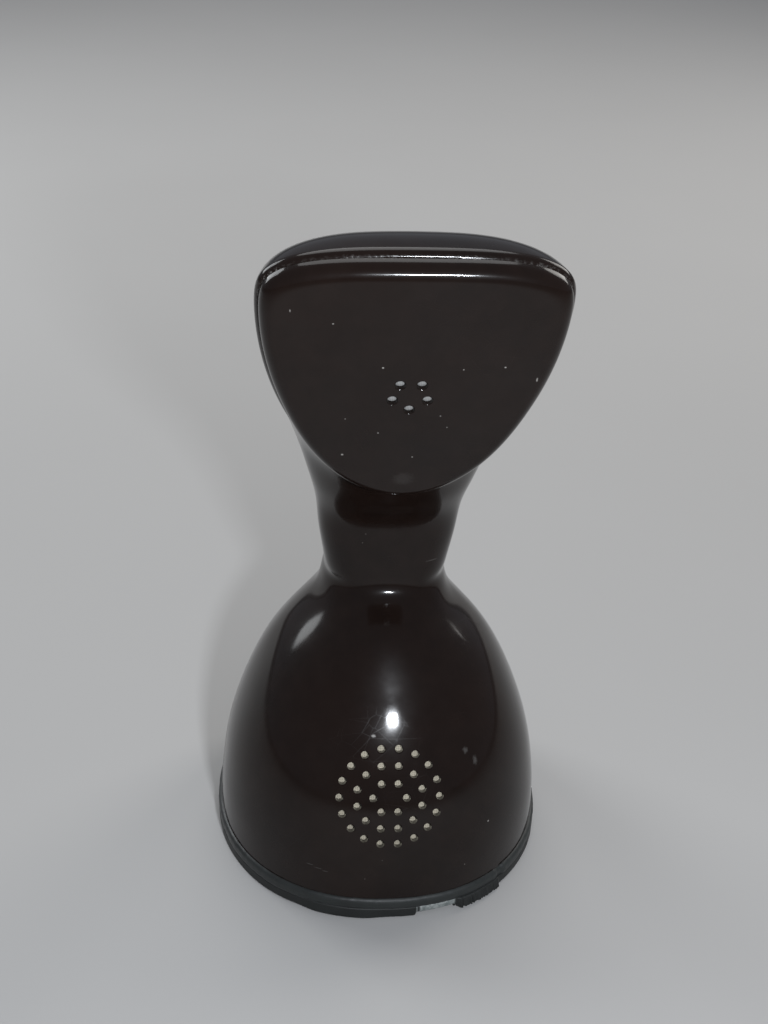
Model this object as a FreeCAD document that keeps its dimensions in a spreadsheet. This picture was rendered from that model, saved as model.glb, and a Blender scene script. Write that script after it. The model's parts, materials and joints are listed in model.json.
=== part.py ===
import FreeCAD, Part
import math
import os
import Sketcher

from FreeCAD import Placement, Rotation, Vector

# One-piece upright desk telephone: hollow shell with the earpiece on top, dial and hook button underneath.
# Millimetres. The origin is the centre of the dial on the table. -Y is the front, +Z is up.

SIZES = {
    # Shell
    "wall": 3.0,
    "ring_half_width": 54.3,
    "ring_half_depth": 55.5,
    "shell_step": 1.2,
    "dome_shoulder_z": 50.0,
    "crease_z": 93.5,
    "neck_half_width": 19.5,
    "neck_front_y": -6.3,
    "neck_rear_y": 36.0,
    "seam_top_y": -50.9,
    "seam_top_z": 222.7,
    "face_lean": 16.8,
    "face_length": 84.5,
    "head_half_width": 40.8,
    "head_crown": 5.0,
    # Ear plate and receiver
    "plate_thick": 5.4,
    "plate_wall": 3.0,
    "plate_edge_round": 4.2,
    "plate_tongue": 2.6,
    "tongue_thick": 1.6,
    "ear_drop": 42.9,
    "ear_hole_r": 1.4,
    "ear_ring_r": 4.86,
    "gauze_r": 11.0,
    "gauze_thick": 0.6,
    "ear_gasket_thick": 1.5,
    "receiver_r": 20.0,
    "receiver_depth": 16.0,
    "receiver_screw_x": 26.0,
    "screw_r": 1.3,
    "screw_grip": 7.0,
    "pan_head_r": 2.4,
    "pan_head_height": 1.4,
    "post_r": 3.2,
    "strap_thick": 1.5,
    "strap_width": 9.0,
    # Transmitter
    "mic_set_back": 5.8,
    "mic_z": 45.1,
    "mic_rise": 26.0,
    "mic_pitch": 5.17,
    "mic_hole_r": 1.2,
    "cloth_r": 19.0,
    "cloth_thick": 0.6,
    "mic_face_depth": 9.2,
    "mic_r": 18.0,
    "mic_depth": 8.5,
    "mic_nose_r": 12.0,
    "mic_nose_depth": 3.0,
    "mic_screw_x": 24.5,
    # Foot and base plate
    "skirt_height": 4.2,
    "skirt_width": 6.6,
    "skirt_round": 1.3,
    "bead_height": 3.6,
    "bead_round": 1.6,
    "bead_seat": 1.0,
    "tear_start": 10.0,
    "tear_end": 24.0,
    "tear_depth": 3.0,
    "base_thick": 2.5,
    "base_play": 0.3,
    "base_screw_inset_x": 9.8,
    "base_screw_inset_y": 11.0,
    "base_screw_r": 1.5,
    "boss_r": 4.0,
    "boss_height": 13.5,
    "insert_r": 2.4,
    "insert_length": 6.5,
    "screw_head_r": 2.8,
    "screw_head_height": 1.6,
    "fit_gap": 0.05,
    "run_gap": 0.3,
    # Cord inlet
    "inlet_z": 14.0,
    "inlet_y": 52.8,
    "inlet_bore_r": 2.6,
    "inlet_body_r": 4.4,
    "inlet_flange_r": 6.2,
    "inlet_flange_thick": 1.8,
    "inlet_length": 3.8,
    # Dial
    "wheel_r": 36.0,
    "wheel_z": 2.4,
    "wheel_thick": 2.6,
    "wheel_window_r": 13.0,
    "wheel_round": 0.6,
    "hub_thick": 1.2,
    "hub_r": 17.5,
    "finger_hole_r": 6.4,
    "finger_ring_r": 27.5,
    "finger_step": 30.0,
    "stop_angle": -60.0,
    "stop_width": 5.0,
    "stop_thick": 1.4,
    "stop_reach": 4.0,
    "stop_clear": 0.9,
    "stop_riser_thick": 1.8,
    "stop_foot_length": 8.0,
    "stop_foot_thick": 1.3,
    "dial_hole_r": 38.0,
    "number_ring_inner_r": 19.5,
    "number_ring_thick": 1.2,
    "frame_r": 40.2,
    "frame_thick": 2.5,
    "frame_ear_r": 4.2,
    "frame_ear_out": 3.3,
    "frame_boss_r": 11.0,
    "frame_boss_height": 2.9,
    "shaft_r": 6.0,
    "shaft_bore_r": 4.4,
    "shaft_flange_r": 11.0,
    "shaft_flange_thick": 1.0,
    "bush_wall": 2.0,
    "wheel_screw_ring_r": 8.4,
    "wheel_screw_r": 1.0,
    "wheel_head_r": 1.6,
    "wheel_head_height": 0.4,
    # Dial mechanism
    "gear_teeth": 72,
    "gear_module": 0.5,
    "gear_thick": 1.8,
    "gear_backlash": 0.14,
    "pinion_teeth": 18,
    "pinion_thick": 3.0,
    "pulse_angle": 150.0,
    "pulse_wheel_teeth": 45,
    "governor_teeth": 18,
    "governor_module": 0.35,
    "pulse_wheel_thick": 1.2,
    "governor_angle": 215.0,
    "spindle_r": 1.0,
    "cam_r": 5.0,
    "cam_thick": 1.2,
    "cam_notch_r": 1.6,
    "plate_gap": 10.3,
    "mech_plate_r": 37.0,
    "mech_plate_thick": 1.8,
    "pillar_r": 2.5,
    "pillar_ring_r": 31.5,
    "spring_inner_r": 6.45,
    "spring_outer_r": 11.9,
    "spring_leaf": 0.35,
    "spring_height": 2.8,
    "barrel_r": 13.4,
    "barrel_wall": 1.0,
    "governor_cup_r": 8.2,
    "governor_cup_wall": 1.2,
    "governor_cup_height": 6.8,
    "weight_r": 1.5,
    "weight_ring_r": 4.6,
    "weight_height": 3.4,
    "contact_reach": 12.0,
    "contact_height": 1.6,
    "contact_step": 1.3,
    # Hook button and switch
    "button_r": 12.2,
    "button_height": 4.4,
    "button_wall": 1.6,
    "button_round": 1.2,
    "rod_r": 4.0,
    "rod_tip_r": 2.2,
    "hook_bush_wall": 1.5,
    "hook_bush_flange_r": 8.0,
    "rod_shoulder_z": 25.4,
    "rod_top_z": 41.0,
    "plunger_travel": 4.5,
    "bridge_z": 34.0,
    "bridge_thick": 1.5,
    "bridge_half_width": 9.0,
    "bridge_front": -10.0,
    "bridge_rear": 22.0,
    "hook_spring_wire": 0.5,
    "hook_spring_r": 3.0,
    "hook_spring_pitch": 1.25,
    "lever_pivot_y": 13.0,
    "lever_thick": 1.2,
    "lever_half_width": 4.0,
    "lever_front": -2.5,
    "lever_eye_r": 2.2,
    "pin_r": 1.0,
    "blade_thick": 0.3,
    # Speech circuit
    "board_z": 47.0,
    "board_thick": 1.5,
    "board_half_width": 24.0,
    "board_front": -6.0,
    "board_rear": 31.0,
    "standoff_r": 2.4,
    "board_screw_r": 1.2,
    "board_head_r": 2.1,
    "board_head_height": 1.1,
    "core_size": 18.0,
    "core_height": 16.0,
    "core_limb": 2.6,
    "former_wall": 0.8,
    "winding_depth": 3.5,
    "coil_x": -21.0,
    "coil_y": 8.0,
    "capacitor_r": 7.0,
    "capacitor_length": 24.0,
    "capacitor_x": 11.0,
    "clip_thick": 0.8,
    "clip_width": 8.0,
    "terminal_width": 26.0,
    "terminal_depth": 7.0,
    "terminal_height": 6.0,
    "terminal_count": 5,
    "lead_r": 1.1,
}

doc = FreeCAD.newDocument("DeskTelephone")
sheet = doc.addObject("Spreadsheet::Sheet", "Size")
for row, (alias, value) in enumerate(SIZES.items(), start=1):
    sheet.set(f"A{row}", alias)
    sheet.set(f"B{row}", str(value))
    sheet.setAlias(f"B{row}", alias)
doc.recompute()

parts = []


def size(alias):
    """The number in a named cell."""
    return float(sheet.get(alias))


def value(text):
    """The number that an expression gives."""
    return float(sheet.evalExpression(str(text)))


def keep(obj, name):
    """Marks an object as a finished sub-part, under the name of its file."""
    obj.Label = name
    parts.append(obj)
    return obj


def place(obj, x=0, y=0, z=0):
    """Binds an object's position to expressions."""
    for key, text in zip("xyz", (x, y, z)):
        obj.setExpression(f"Placement.Base.{key}", str(text))
    return obj


def turn(obj, axis, angle):
    """Turns an object about an axis through its own position, by an expression in degrees."""
    obj.Placement = Placement(obj.Placement.Base, Rotation(axis, 1))
    obj.setExpression("Placement.Rotation.Angle", str(angle))
    return obj


def cylinder(name, radius, height, x=0, y=0, z=0):
    obj = doc.addObject("Part::Cylinder", name)
    obj.setExpression("Radius", str(radius))
    obj.setExpression("Height", str(height))
    return place(obj, x, y, z)


def box(name, length, width, height, x=0, y=0, z=0):
    """A box on its lowest corner."""
    obj = doc.addObject("Part::Box", name)
    obj.setExpression("Length", str(length))
    obj.setExpression("Width", str(width))
    obj.setExpression("Height", str(height))
    return place(obj, x, y, z)


def fuse(name, *shapes):
    obj = doc.addObject("Part::MultiFuse", name)
    obj.Shapes = list(shapes)
    return obj


def group(name, *shapes):
    """Separate solids that share one node."""
    obj = doc.addObject("Part::Compound", name)
    obj.Links = list(shapes)
    return obj


def cut(name, base, *tools):
    obj = doc.addObject("Part::Cut", name)
    obj.Base = base
    obj.Tool = tools[0] if len(tools) == 1 else fuse(name + "_tools", *tools)
    return obj


def tube(name, outer, inner, height, x=0, y=0, z=0):
    hole = cylinder(name + "_bore", inner, height, x, y, z)
    return cut(name, cylinder(name + "_body", outer, height, x, y, z), hole)


def rounded(name, base, radius, test):
    """Rounds the edges of an object that pass a test."""
    doc.recompute()
    amount = value(radius)
    obj = doc.addObject("Part::Fillet", name)
    obj.Base = base
    obj.Edges = [(k, amount, amount) for k, edge in enumerate(base.Shape.Edges, start=1) if test(edge)]
    return obj


def polar(radius, angle):
    """The x and y expressions of a point at a radius and an angle in degrees."""
    return f"({radius}) * cos({angle})", f"({radius}) * sin({angle})"


def made(name, shape):
    """A feature whose shape comes from Part's own functions."""
    obj = doc.addObject("Part::Feature", name)
    obj.Shape = shape
    return obj


def foot_point(angle):
    """The x and y expressions of a base screw, which keeps its distance from the foot's outline."""
    return (f"(Size.ring_half_width - Size.base_screw_inset_x) * cos({angle})",
            f"(Size.ring_half_depth - Size.base_screw_inset_y) * sin({angle})")


# Places that follow the foot's outline and the dial frame, and the levels of the stack from the table up.
mic_y = "(Size.mic_set_back - Size.ring_half_depth)"
frame_ear_ring = "(Size.frame_r + Size.frame_ear_out)"
base_z = "Size.skirt_height"
base_top = f"({base_z} + Size.base_thick)"
wheel_top = "(Size.wheel_z + Size.wheel_thick)"
flange_z = f"({wheel_top} + Size.hub_thick)"
frame_z = f"({flange_z} + Size.shaft_flange_thick + Size.run_gap)"
frame_top = f"({frame_z} + Size.frame_thick)"
boss_top = f"({frame_top} + Size.frame_boss_height)"
gear_z = f"({boss_top} + Size.run_gap)"
gear_top = f"({gear_z} + Size.gear_thick)"
mech_z = f"({frame_top} + Size.plate_gap)"
mech_top = f"({mech_z} + Size.mech_plate_thick)"
bridge_top = "(Size.bridge_z + Size.bridge_thick)"
board_top = "(Size.board_z + Size.board_thick)"

# Outline of the shell: closed curves through half superellipses, in planes that fan out to the face.
AROUND = 40


def cross_section(front, rear, half_width, widest, front_power, rear_power):
    """Poles of one closed curve. front and rear are (y, z) on the middle plane, and widest is the share of
    the way from front to rear at which the curve is widest."""
    depth = math.dist(front, rear)
    along = ((rear[0] - front[0]) / depth, (rear[1] - front[1]) / depth)
    poles = []
    for k in range(AROUND):
        angle = 2 * math.pi * k / AROUND
        c, s = math.cos(angle), math.sin(angle)
        power = rear_power if s >= 0 else front_power
        reach = depth * (1 - widest if s >= 0 else widest)
        x = half_width * math.copysign(abs(c) ** (2 / power), c)
        v = depth * widest + reach * math.copysign(abs(s) ** (2 / power), s)
        poles.append(Vector(x, front[0] + along[0] * v, front[1] + along[1] * v))
    return poles


def closed_curve(poles):
    """A closed cubic curve with the given poles."""
    curve = Part.BSplineCurve()
    count = len(poles)
    curve.buildFromPolesMultsKnots(poles, [1] * (count + 1), range(count + 1), True, 3)
    return curve


def skin(sections):
    """A solid whose side is one smooth surface over the sections, closed by flat ends."""
    rows = len(sections)
    knots = list(range(rows - 2))
    ends = [4] + [1] * (rows - 4) + [4]
    surface = Part.BSplineSurface()
    surface.buildFromPolesMultsKnots([list(column) for column in zip(*sections)], [1] * (AROUND + 1), ends,
                                     range(AROUND + 1), knots, True, False, 3, 3)
    side = surface.toShape()
    caps = [Part.Face(Part.Wire(closed_curve(section).toShape())) for section in (sections[0], sections[-1])]
    solid = Part.Solid(Part.Shell([side] + caps).removeSplitter())
    if not solid.isValid():
        shell = Part.Shell([side] + caps)
        shell.sewShape()
        solid = Part.Solid(shell)
    if solid.Volume < 0:
        solid.reverse()
    return solid


lean = math.radians(size("face_lean"))
face_down = (math.sin(lean), -math.cos(lean))
seam_top = (size("seam_top_y"), size("seam_top_z"))
seam_tip = tuple(p + d * size("face_length") for p, d in zip(seam_top, face_down))


def shell_sections(inset):
    """Sections of the shell's outside, or of its hollow when inset is the wall."""
    width = size("ring_half_width") - size("shell_step")
    depth = size("ring_half_depth") - size("shell_step")
    shoulder = size("dome_shoulder_z")
    crease = size("crease_z")
    # Height as a share of the shoulder's or of the rise above it, then front, rear and half width as shares
    # of those of the foot. The throat, where the dome runs into the neck, has a slimmer rear half.
    low = [(0.04, 1.0, 1.0, 1.0), (0.28, 1.003, 0.999, 1.0), (0.52, 0.985, 0.976, 0.981),
           (0.76, 0.941, 0.936, 0.935), (1.0, 0.853, 0.887, 0.856)]
    high = [(0.27, 0.712, 0.839, 0.75), (0.53, 0.538, 0.782, 0.613), (0.76, 0.385, 0.727, 0.401)]
    dome_power, throat_power = 2.15, 1.7
    rise = crease - shoulder
    levels = [(shoulder * h, f, r, w) for h, f, r, w in low]
    levels += [(shoulder + rise * h, f, r, w) for h, f, r, w in high]
    rings = [(z, -depth * f, depth * r, width * w) for z, f, r, w in levels]
    neck_w = size("neck_half_width")
    neck_f = size("neck_front_y")
    neck_r = size("neck_rear_y")
    rings.append((crease - 3.4, neck_f - 3.2, neck_r + 2.7, neck_w + 0.4))
    throat = len(low) + 1
    out = []
    for k, (z, front, rear, half) in enumerate(rings):
        power = throat_power if k >= throat else dome_power
        out.append(cross_section((front + inset, z), (rear - inset, z), half - inset, 0.5, 2.2, power))
    # Rows of the neck and the head: front, rear, half width, widest place and the two powers. The first rows
    # follow the neck, and the others lead up to the flat seam.
    tip_y, tip_z = seam_tip
    top_y, top_z = seam_top
    head_w = size("head_half_width")
    crown = size("head_crown")
    spread = head_w - neck_w
    rows = [
        ((neck_f - 0.6, crease), (neck_r + 1.9, crease), neck_w - 0.6, 0.42, 2.4, 2.25),
        ((neck_f, crease + 2.6), (neck_r + 1.3, crease + 2.6), neck_w, 0.37, 2.7, 2.3),
        ((neck_f, crease + 8), (neck_r + 0.1, crease + 8), neck_w + 0.6, 0.35, 2.8, 2.3),
        ((neck_f - 0.4, crease + 17), (neck_r - 1.7, crease + 18), neck_w + 0.11 * spread, 0.35, 2.8, 2.3),
        ((neck_f - 1.6, tip_z - 22), (neck_r - 3.8, tip_z - 16), neck_w + 0.135 * spread, 0.35, 2.8, 2.3),
        ((tip_y + 11.4, tip_z - 12.5), (neck_r - 8, top_z - 79), neck_w + 0.265 * spread, 0.37, 2.6, 2.3),
        ((tip_y + 7.8, tip_z - 6), (neck_r - 15, top_z - 57), neck_w + 0.42 * spread, 0.43, 2.4, 2.3),
        ((tip_y + 4.6, tip_z - 2.2), (neck_r - 27, top_z - 35 + 0.4 * crown), neck_w + 0.62 * spread, 0.52,
         2.2, 2.35),
        ((tip_y + 2.3, tip_z - 0.7), (top_y + 38, top_z - 16.5 + 0.8 * crown), neck_w + 0.82 * spread, 0.63,
         2.05, 2.5),
        ((tip_y + 0.8, tip_z - 0.2), (top_y + 18, top_z - 3.2 + crown), neck_w + 0.97 * spread, 0.74, 1.93,
         2.99),
        ((tip_y, tip_z), (top_y, top_z), head_w, 0.8, 1.88, 3.3),
    ]
    for front, rear, half, widest, front_power, rear_power in rows:
        span = math.dist(front, rear)
        step = [(rear[i] - front[i]) / span * inset for i in range(2)]
        front = (front[0] + step[0], front[1] + step[1])
        rear = (rear[0] - step[0], rear[1] - step[1])
        out.append(cross_section(front, rear, half - inset, widest, front_power, rear_power))
    return out


def past_end(sections, down, out):
    """The sections with both end ones carried on past the ends, for a hollow that is open there."""
    normal = Vector(0, -math.cos(lean), -math.sin(lean))
    first = [p - Vector(0, 0, down) for p in sections[0]]
    last = [p + normal * out for p in sections[-1]]
    return [first] + sections + [last]


def outline(inset):
    """The plan outline of the foot, drawn in by inset, as a flat face on the table plane."""
    depth = size("ring_half_depth") - inset
    poles = cross_section((-depth, 0), (depth, 0), size("ring_half_width") - inset, 0.5, 2.2, 2.15)
    return Part.Face(Part.Wire(closed_curve(poles).toShape()))


def ring_prism(outer_inset, inner_inset, low, height):
    """A ring between two outlines."""
    ring = outline(outer_inset).cut(outline(inner_inset))
    ring.translate(Vector(0, 0, low))
    return ring.extrude(Vector(0, 0, height))


def head_place(up, out):
    """Placement in the middle of the head: up from the ear holes' centre along the seam, then out of it."""
    drop = size("ear_drop") - up
    y = seam_top[0] + face_down[0] * drop - math.cos(lean) * out
    z = seam_top[1] + face_down[1] * drop - math.sin(lean) * out
    return Placement(Vector(0, y, z), Rotation(Vector(1, 0, 0), 90 + size("face_lean")))


# Placements of the receiver's and the transmitter's pieces, as expressions: depth is measured inward.
def in_head(obj, depth):
    """Places an object drawn on its own Z axis behind the ear holes, at a depth under the seam plane."""
    down = "Size.ear_drop"
    turn(obj, Vector(1, 0, 0), "90 + Size.face_lean")
    y = f"Size.seam_top_y + {down} * sin(Size.face_lean) + ({depth}) * cos(Size.face_lean)"
    z = f"Size.seam_top_z - {down} * cos(Size.face_lean) + ({depth}) * sin(Size.face_lean)"
    return place(obj, 0, y, z)


def in_dome(obj, depth):
    """Places an object that was drawn on its own Z axis behind the mouthpiece holes."""
    turn(obj, Vector(1, 0, 0), "90 - Size.mic_rise")
    y = f"{mic_y} + ({depth}) * cos(Size.mic_rise)"
    z = f"Size.mic_z - ({depth}) * sin(Size.mic_rise)"
    return place(obj, 0, y, z)


def dome_place(depth=0.0):
    """The same placement for shapes."""
    rise = math.radians(size("mic_rise"))
    at = Vector(0, value(mic_y) + depth * math.cos(rise), size("mic_z") - depth * math.sin(rise))
    return Placement(at, Rotation(Vector(1, 0, 0), 90 - size("mic_rise")))


def rod(radius, low, high, x=0.0, y=0.0):
    """A cylinder along Z between two levels."""
    return Part.makeCylinder(radius, high - low, Vector(x, y, low))


def corner(radius, angle):
    """A point at a radius and an angle in degrees."""
    return radius * math.cos(math.radians(angle)), radius * math.sin(math.radians(angle))


# Main shell
BASE_SCREWS = (90, 210, 330)
DIAL_SCREWS = (30, 150, 270)
wall = size("wall")
foot_top = size("skirt_height")
base_level = foot_top + size("base_thick")
outside = skin(shell_sections(0))
hollow = skin(past_end(shell_sections(wall), foot_top, foot_top))
cloth_back = skin(past_end(shell_sections(wall + size("cloth_thick")), foot_top, foot_top))


def base_boss(angle):
    """A pillar for a base screw, with the web that ties it to the wall."""
    x, y = [value(text) for text in foot_point(angle)]
    pillar = rod(size("boss_r"), base_level, base_level + size("boss_height"), x, y)
    web = Part.makeBox(size("base_screw_inset_y"), size("boss_r"), size("boss_height"),
                       Vector(0, -size("boss_r") / 2, 0))
    web.Placement = Placement(Vector(x, y, base_level), Rotation(Vector(0, 0, 1), angle))
    return pillar.fuse(web)


def in_mic_frame(shape, depth=0.0):
    shape.Placement = dome_place(depth)
    return shape


mic_back = size("mic_face_depth") + size("mic_depth")
screw_hole_r = size("screw_r") + size("fit_gap")
shell = outside.cut(hollow)
inner_parts = [base_boss(angle) for angle in BASE_SCREWS]
for side in (-1, 1):
    post = Part.makeCylinder(size("post_r"), mic_back, Vector(side * size("mic_screw_x"), 0, -mic_back))
    inner_parts.append(in_mic_frame(post))
for part in inner_parts:
    shell = shell.fuse(part.common(outside))
below = Part.makeBox(200, 200, foot_top + 10, Vector(-100, -100, -10))
bead_rebate = ring_prism(-5, size("shell_step") + size("bead_seat"), foot_top, size("bead_height"))
shell_cuts = [below, bead_rebate]
for angle in BASE_SCREWS:
    x, y = [value(text) for text in foot_point(angle)]
    shell_cuts.append(rod(size("insert_r"), base_level, base_level + size("insert_length") + 4, x, y))
for side in (-1, 1):
    hole_at = Vector(side * size("mic_screw_x"), 0, -mic_back)
    shell_cuts.append(in_mic_frame(Part.makeCylinder(screw_hole_r, size("screw_grip"), hole_at)))
mouthpiece_reach = 2 * wall + 5
for ring, shift in ((1, 0), (2, 0.5), (3, 0)):
    count = 6 * ring
    for k in range(count):
        x, y = corner(ring * size("mic_pitch"), 360 * (k + shift) / count)
        hole = Part.makeCylinder(size("mic_hole_r"), mouthpiece_reach, Vector(x, y, -wall - 4))
        shell_cuts.append(in_mic_frame(hole))
inlet_at = Vector(0, size("inlet_y"), size("inlet_z"))
to_rear = Vector(0, 1, 0)
shell_cuts.append(Part.makeCylinder(size("inlet_body_r"), 12, inlet_at - to_rear * 10, to_rear))
shell_cuts.append(Part.makeCylinder(size("inlet_flange_r") + size("fit_gap"), 8, inlet_at, to_rear))
shell = shell.cut(shell_cuts)
keep(made("main_shell", shell), "main_shell")

# Ear plate: a shallow dish on the seam, with a tongue inside the shell
seam_section = shell_sections(0)[-1]
out_way = Vector(0, -math.cos(lean), -math.sin(lean))


def seam_face(inset):
    return Part.Face(Part.Wire(closed_curve(shell_sections(inset)[-1]).toShape()))


def moved(shape, way):
    shape.translate(way)
    return shape


def on_front(edge):
    """Whether an edge lies on the plate's front face."""
    heights = [(v.Point - seam_section[0]).dot(out_way) for v in edge.Vertexes]
    return all(abs(height - size("plate_thick")) < 0.01 for height in heights)


plate = seam_face(0).extrude(out_way * size("plate_thick"))
front_edges = [edge for edge in plate.Edges if on_front(edge)]
plate = plate.makeFillet(size("plate_edge_round"), front_edges)
plate = plate.cut(seam_face(wall).extrude(out_way * (size("plate_thick") - size("plate_wall"))))
tongue = seam_face(wall).cut(seam_face(wall + size("tongue_thick")))
tongue_height = size("plate_tongue") + size("plate_thick") - size("plate_wall")
tongue = moved(tongue, out_way * (-size("plate_tongue"))).extrude(out_way * tongue_height)
tongue = tongue.common(hollow)
plate = plate.fuse(tongue)
plate_inside = size("plate_thick") - size("plate_wall")
post_length = size("receiver_depth") + size("ear_gasket_thick")
for side in (-1, 1):
    post_at = Vector(side * size("receiver_screw_x"), 0, plate_inside - post_length)
    post = Part.makeCylinder(size("post_r"), post_length, post_at)
    post.Placement = head_place(0, 0)
    plate = plate.fuse(post)
plate_cuts = []
for side in (-1, 1):
    hole_at = Vector(side * size("receiver_screw_x"), 0, plate_inside - post_length)
    plate_cuts.append(Part.makeCylinder(screw_hole_r, size("screw_grip") + 1, hole_at))
for k in range(5):
    x, y = corner(size("ear_ring_r"), 72 * k - 90)
    hole_at = Vector(x, y, plate_inside - 0.5)
    plate_cuts.append(Part.makeCylinder(size("ear_hole_r"), 2 * size("plate_wall"), hole_at))
for shape in plate_cuts:
    shape.Placement = head_place(0, 0)
plate = plate.cut(plate_cuts)
keep(made("ear_plate", plate), "ear_plate")

# Receiver, on its own Z axis from the back to the ear
inside_text = "(Size.plate_thick - Size.plate_wall)"
gauze = cylinder("gauze", "Size.gauze_r", "Size.gauze_thick")
keep(in_head(gauze, f"-{inside_text} + Size.gauze_thick"), "receiver_gauze")
gasket = tube("ear_gasket", "Size.receiver_r", "Size.gauze_r + 1", "Size.ear_gasket_thick")
keep(in_head(gasket, f"-{inside_text} + Size.ear_gasket_thick"), "receiver_gasket")
receiver_back = f"(Size.ear_gasket_thick + Size.receiver_depth - {inside_text})"
case = cylinder("receiver_case", "Size.receiver_r", "Size.receiver_depth - 4", 0, 0, "4")
rim = cylinder("receiver_nose", "Size.receiver_r - 5", "Size.receiver_depth")
keep(in_head(fuse("receiver", case, rim), receiver_back), "receiver_capsule")
strap_bar = box("ear_strap_bar", "2 * (Size.receiver_screw_x + Size.post_r)", "Size.strap_width",
                "Size.strap_thick", "-Size.receiver_screw_x - Size.post_r", "-Size.strap_width / 2")
strap_holes = [cylinder(f"ear_strap_hole{k}", "Size.screw_r + Size.fit_gap", "Size.strap_thick",
                        f"{side} * Size.receiver_screw_x") for k, side in enumerate((-1, 1))]
strap = cut("ear_strap", strap_bar, *strap_holes)
keep(in_head(strap, f"{receiver_back} + Size.strap_thick"), "receiver_clamp")


def screw(name, radius, length, head_r, head_height, x=0, y=0, z=0):
    """A pan-head screw that points up its own Z axis, with the head's top at z."""
    head = cylinder(name + "_head", head_r, head_height, x, y, z)
    shank = cylinder(name + "_shank", radius, f"({length}) + ({head_height})", x, y, z)
    return fuse(name, head, shank)


def pan_screws(name, x):
    """Two capsule screws, at x on both sides of the middle."""
    pair = [screw(f"{name}{k}", "Size.screw_r", "Size.screw_grip", "Size.pan_head_r", "Size.pan_head_height",
                  f"{side} * {x}") for k, side in enumerate((-1, 1))]
    return group(name, *pair)


clamp_top = "Size.strap_thick + Size.pan_head_height"
ear_screws = in_head(pan_screws("ear_screws", "Size.receiver_screw_x"), f"{receiver_back} + {clamp_top}")

# Transmitter, on its own Z axis from the back to the mouthpiece holes
cloth_disc = in_mic_frame(Part.makeCylinder(size("cloth_r"), 30, Vector(0, 0, -20)))
cloth = hollow.common(cloth_disc).cut(cloth_back)
cloth = min(cloth.Solids, key=lambda solid: abs(solid.CenterOfMass.y - value(mic_y)))
keep(made("cloth", cloth), "transmitter_cloth")
seal = Part.makeCylinder(size("mic_r"), size("mic_face_depth"), Vector(0, 0, -size("mic_face_depth")))
seal = seal.cut(Part.makeCylinder(size("mic_r") - 2.2, 30, Vector(0, 0, -20)))
seal = in_mic_frame(seal).common(cloth_back)
keep(made("mic_seal", seal), "transmitter_gasket")
mic_depth_text = "(Size.mic_face_depth + Size.mic_depth)"
mic_case = cylinder("mic_case", "Size.mic_r", "Size.mic_depth", 0, 0, "Size.mic_nose_depth")
mic_nose = cylinder("mic_nose", "Size.mic_nose_r", "Size.mic_nose_depth")
keep(in_dome(fuse("mic_capsule", mic_case, mic_nose), f"{mic_depth_text} + Size.mic_nose_depth"),
     "transmitter_capsule")
clamp_disc = cylinder("mic_clamp_disc", "Size.mic_r", "Size.strap_thick")
clamp_bar = box("mic_clamp_bar", "2 * (Size.mic_screw_x + Size.post_r)", "Size.strap_width",
                "Size.strap_thick", "-Size.mic_screw_x - Size.post_r", "-Size.strap_width / 2")
clamp_window = cylinder("mic_clamp_window", "Size.mic_nose_r + Size.run_gap", "Size.strap_thick")
clamp_holes = [cylinder(f"mic_clamp_hole{k}", "Size.screw_r + Size.fit_gap", "Size.strap_thick",
                        f"{side} * Size.mic_screw_x") for k, side in enumerate((-1, 1))]
clamp = cut("mic_clamp", fuse("mic_clamp_plate", clamp_disc, clamp_bar), clamp_window, *clamp_holes)
keep(in_dome(clamp, f"{mic_depth_text} + Size.strap_thick"), "transmitter_clamp")
mic_screws = in_dome(pan_screws("mic_screws", "Size.mic_screw_x"), f"{mic_depth_text} + {clamp_top}")
keep(group("capsule_screw_set", ear_screws, mic_screws), "capsule_screws")

# Foot: black skirt under the shell, with a torn place at the front right, and the grey bead round its edge
skirt = ring_prism(0, size("skirt_width"), 0, foot_top)
lower_outer = [e for e in skirt.Edges if max(v.Z for v in e.Vertexes) < 0.01
               and e.BoundBox.XMax > size("ring_half_width") - 1]
skirt = skirt.makeFillet(size("skirt_round"), lower_outer)
tear = ring_prism(-2, size("tear_depth"), 0.0, foot_top)
reach = 2 * size("ring_half_depth")
tear_angle = size("tear_end") - size("tear_start")
sector = Part.makeCylinder(reach, foot_top, Vector(), Vector(0, 0, 1), tear_angle)
sector.rotate(Vector(), Vector(0, 0, 1), size("tear_start") - 90)
skirt = skirt.cut(tear.common(sector))
keep(made("skirt", skirt), "foot_skirt")
bead = ring_prism(0, size("shell_step") + size("bead_seat"), foot_top, size("bead_height"))
bead_edges = [edge for edge in bead.Edges if edge.BoundBox.XMax > size("ring_half_width") - 1
              and edge.BoundBox.ZLength < 0.01 and edge.BoundBox.ZMin > foot_top + 1]
bead = bead.makeFillet(size("bead_round"), bead_edges)
keep(made("bead", bead), "foot_bead")

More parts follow.
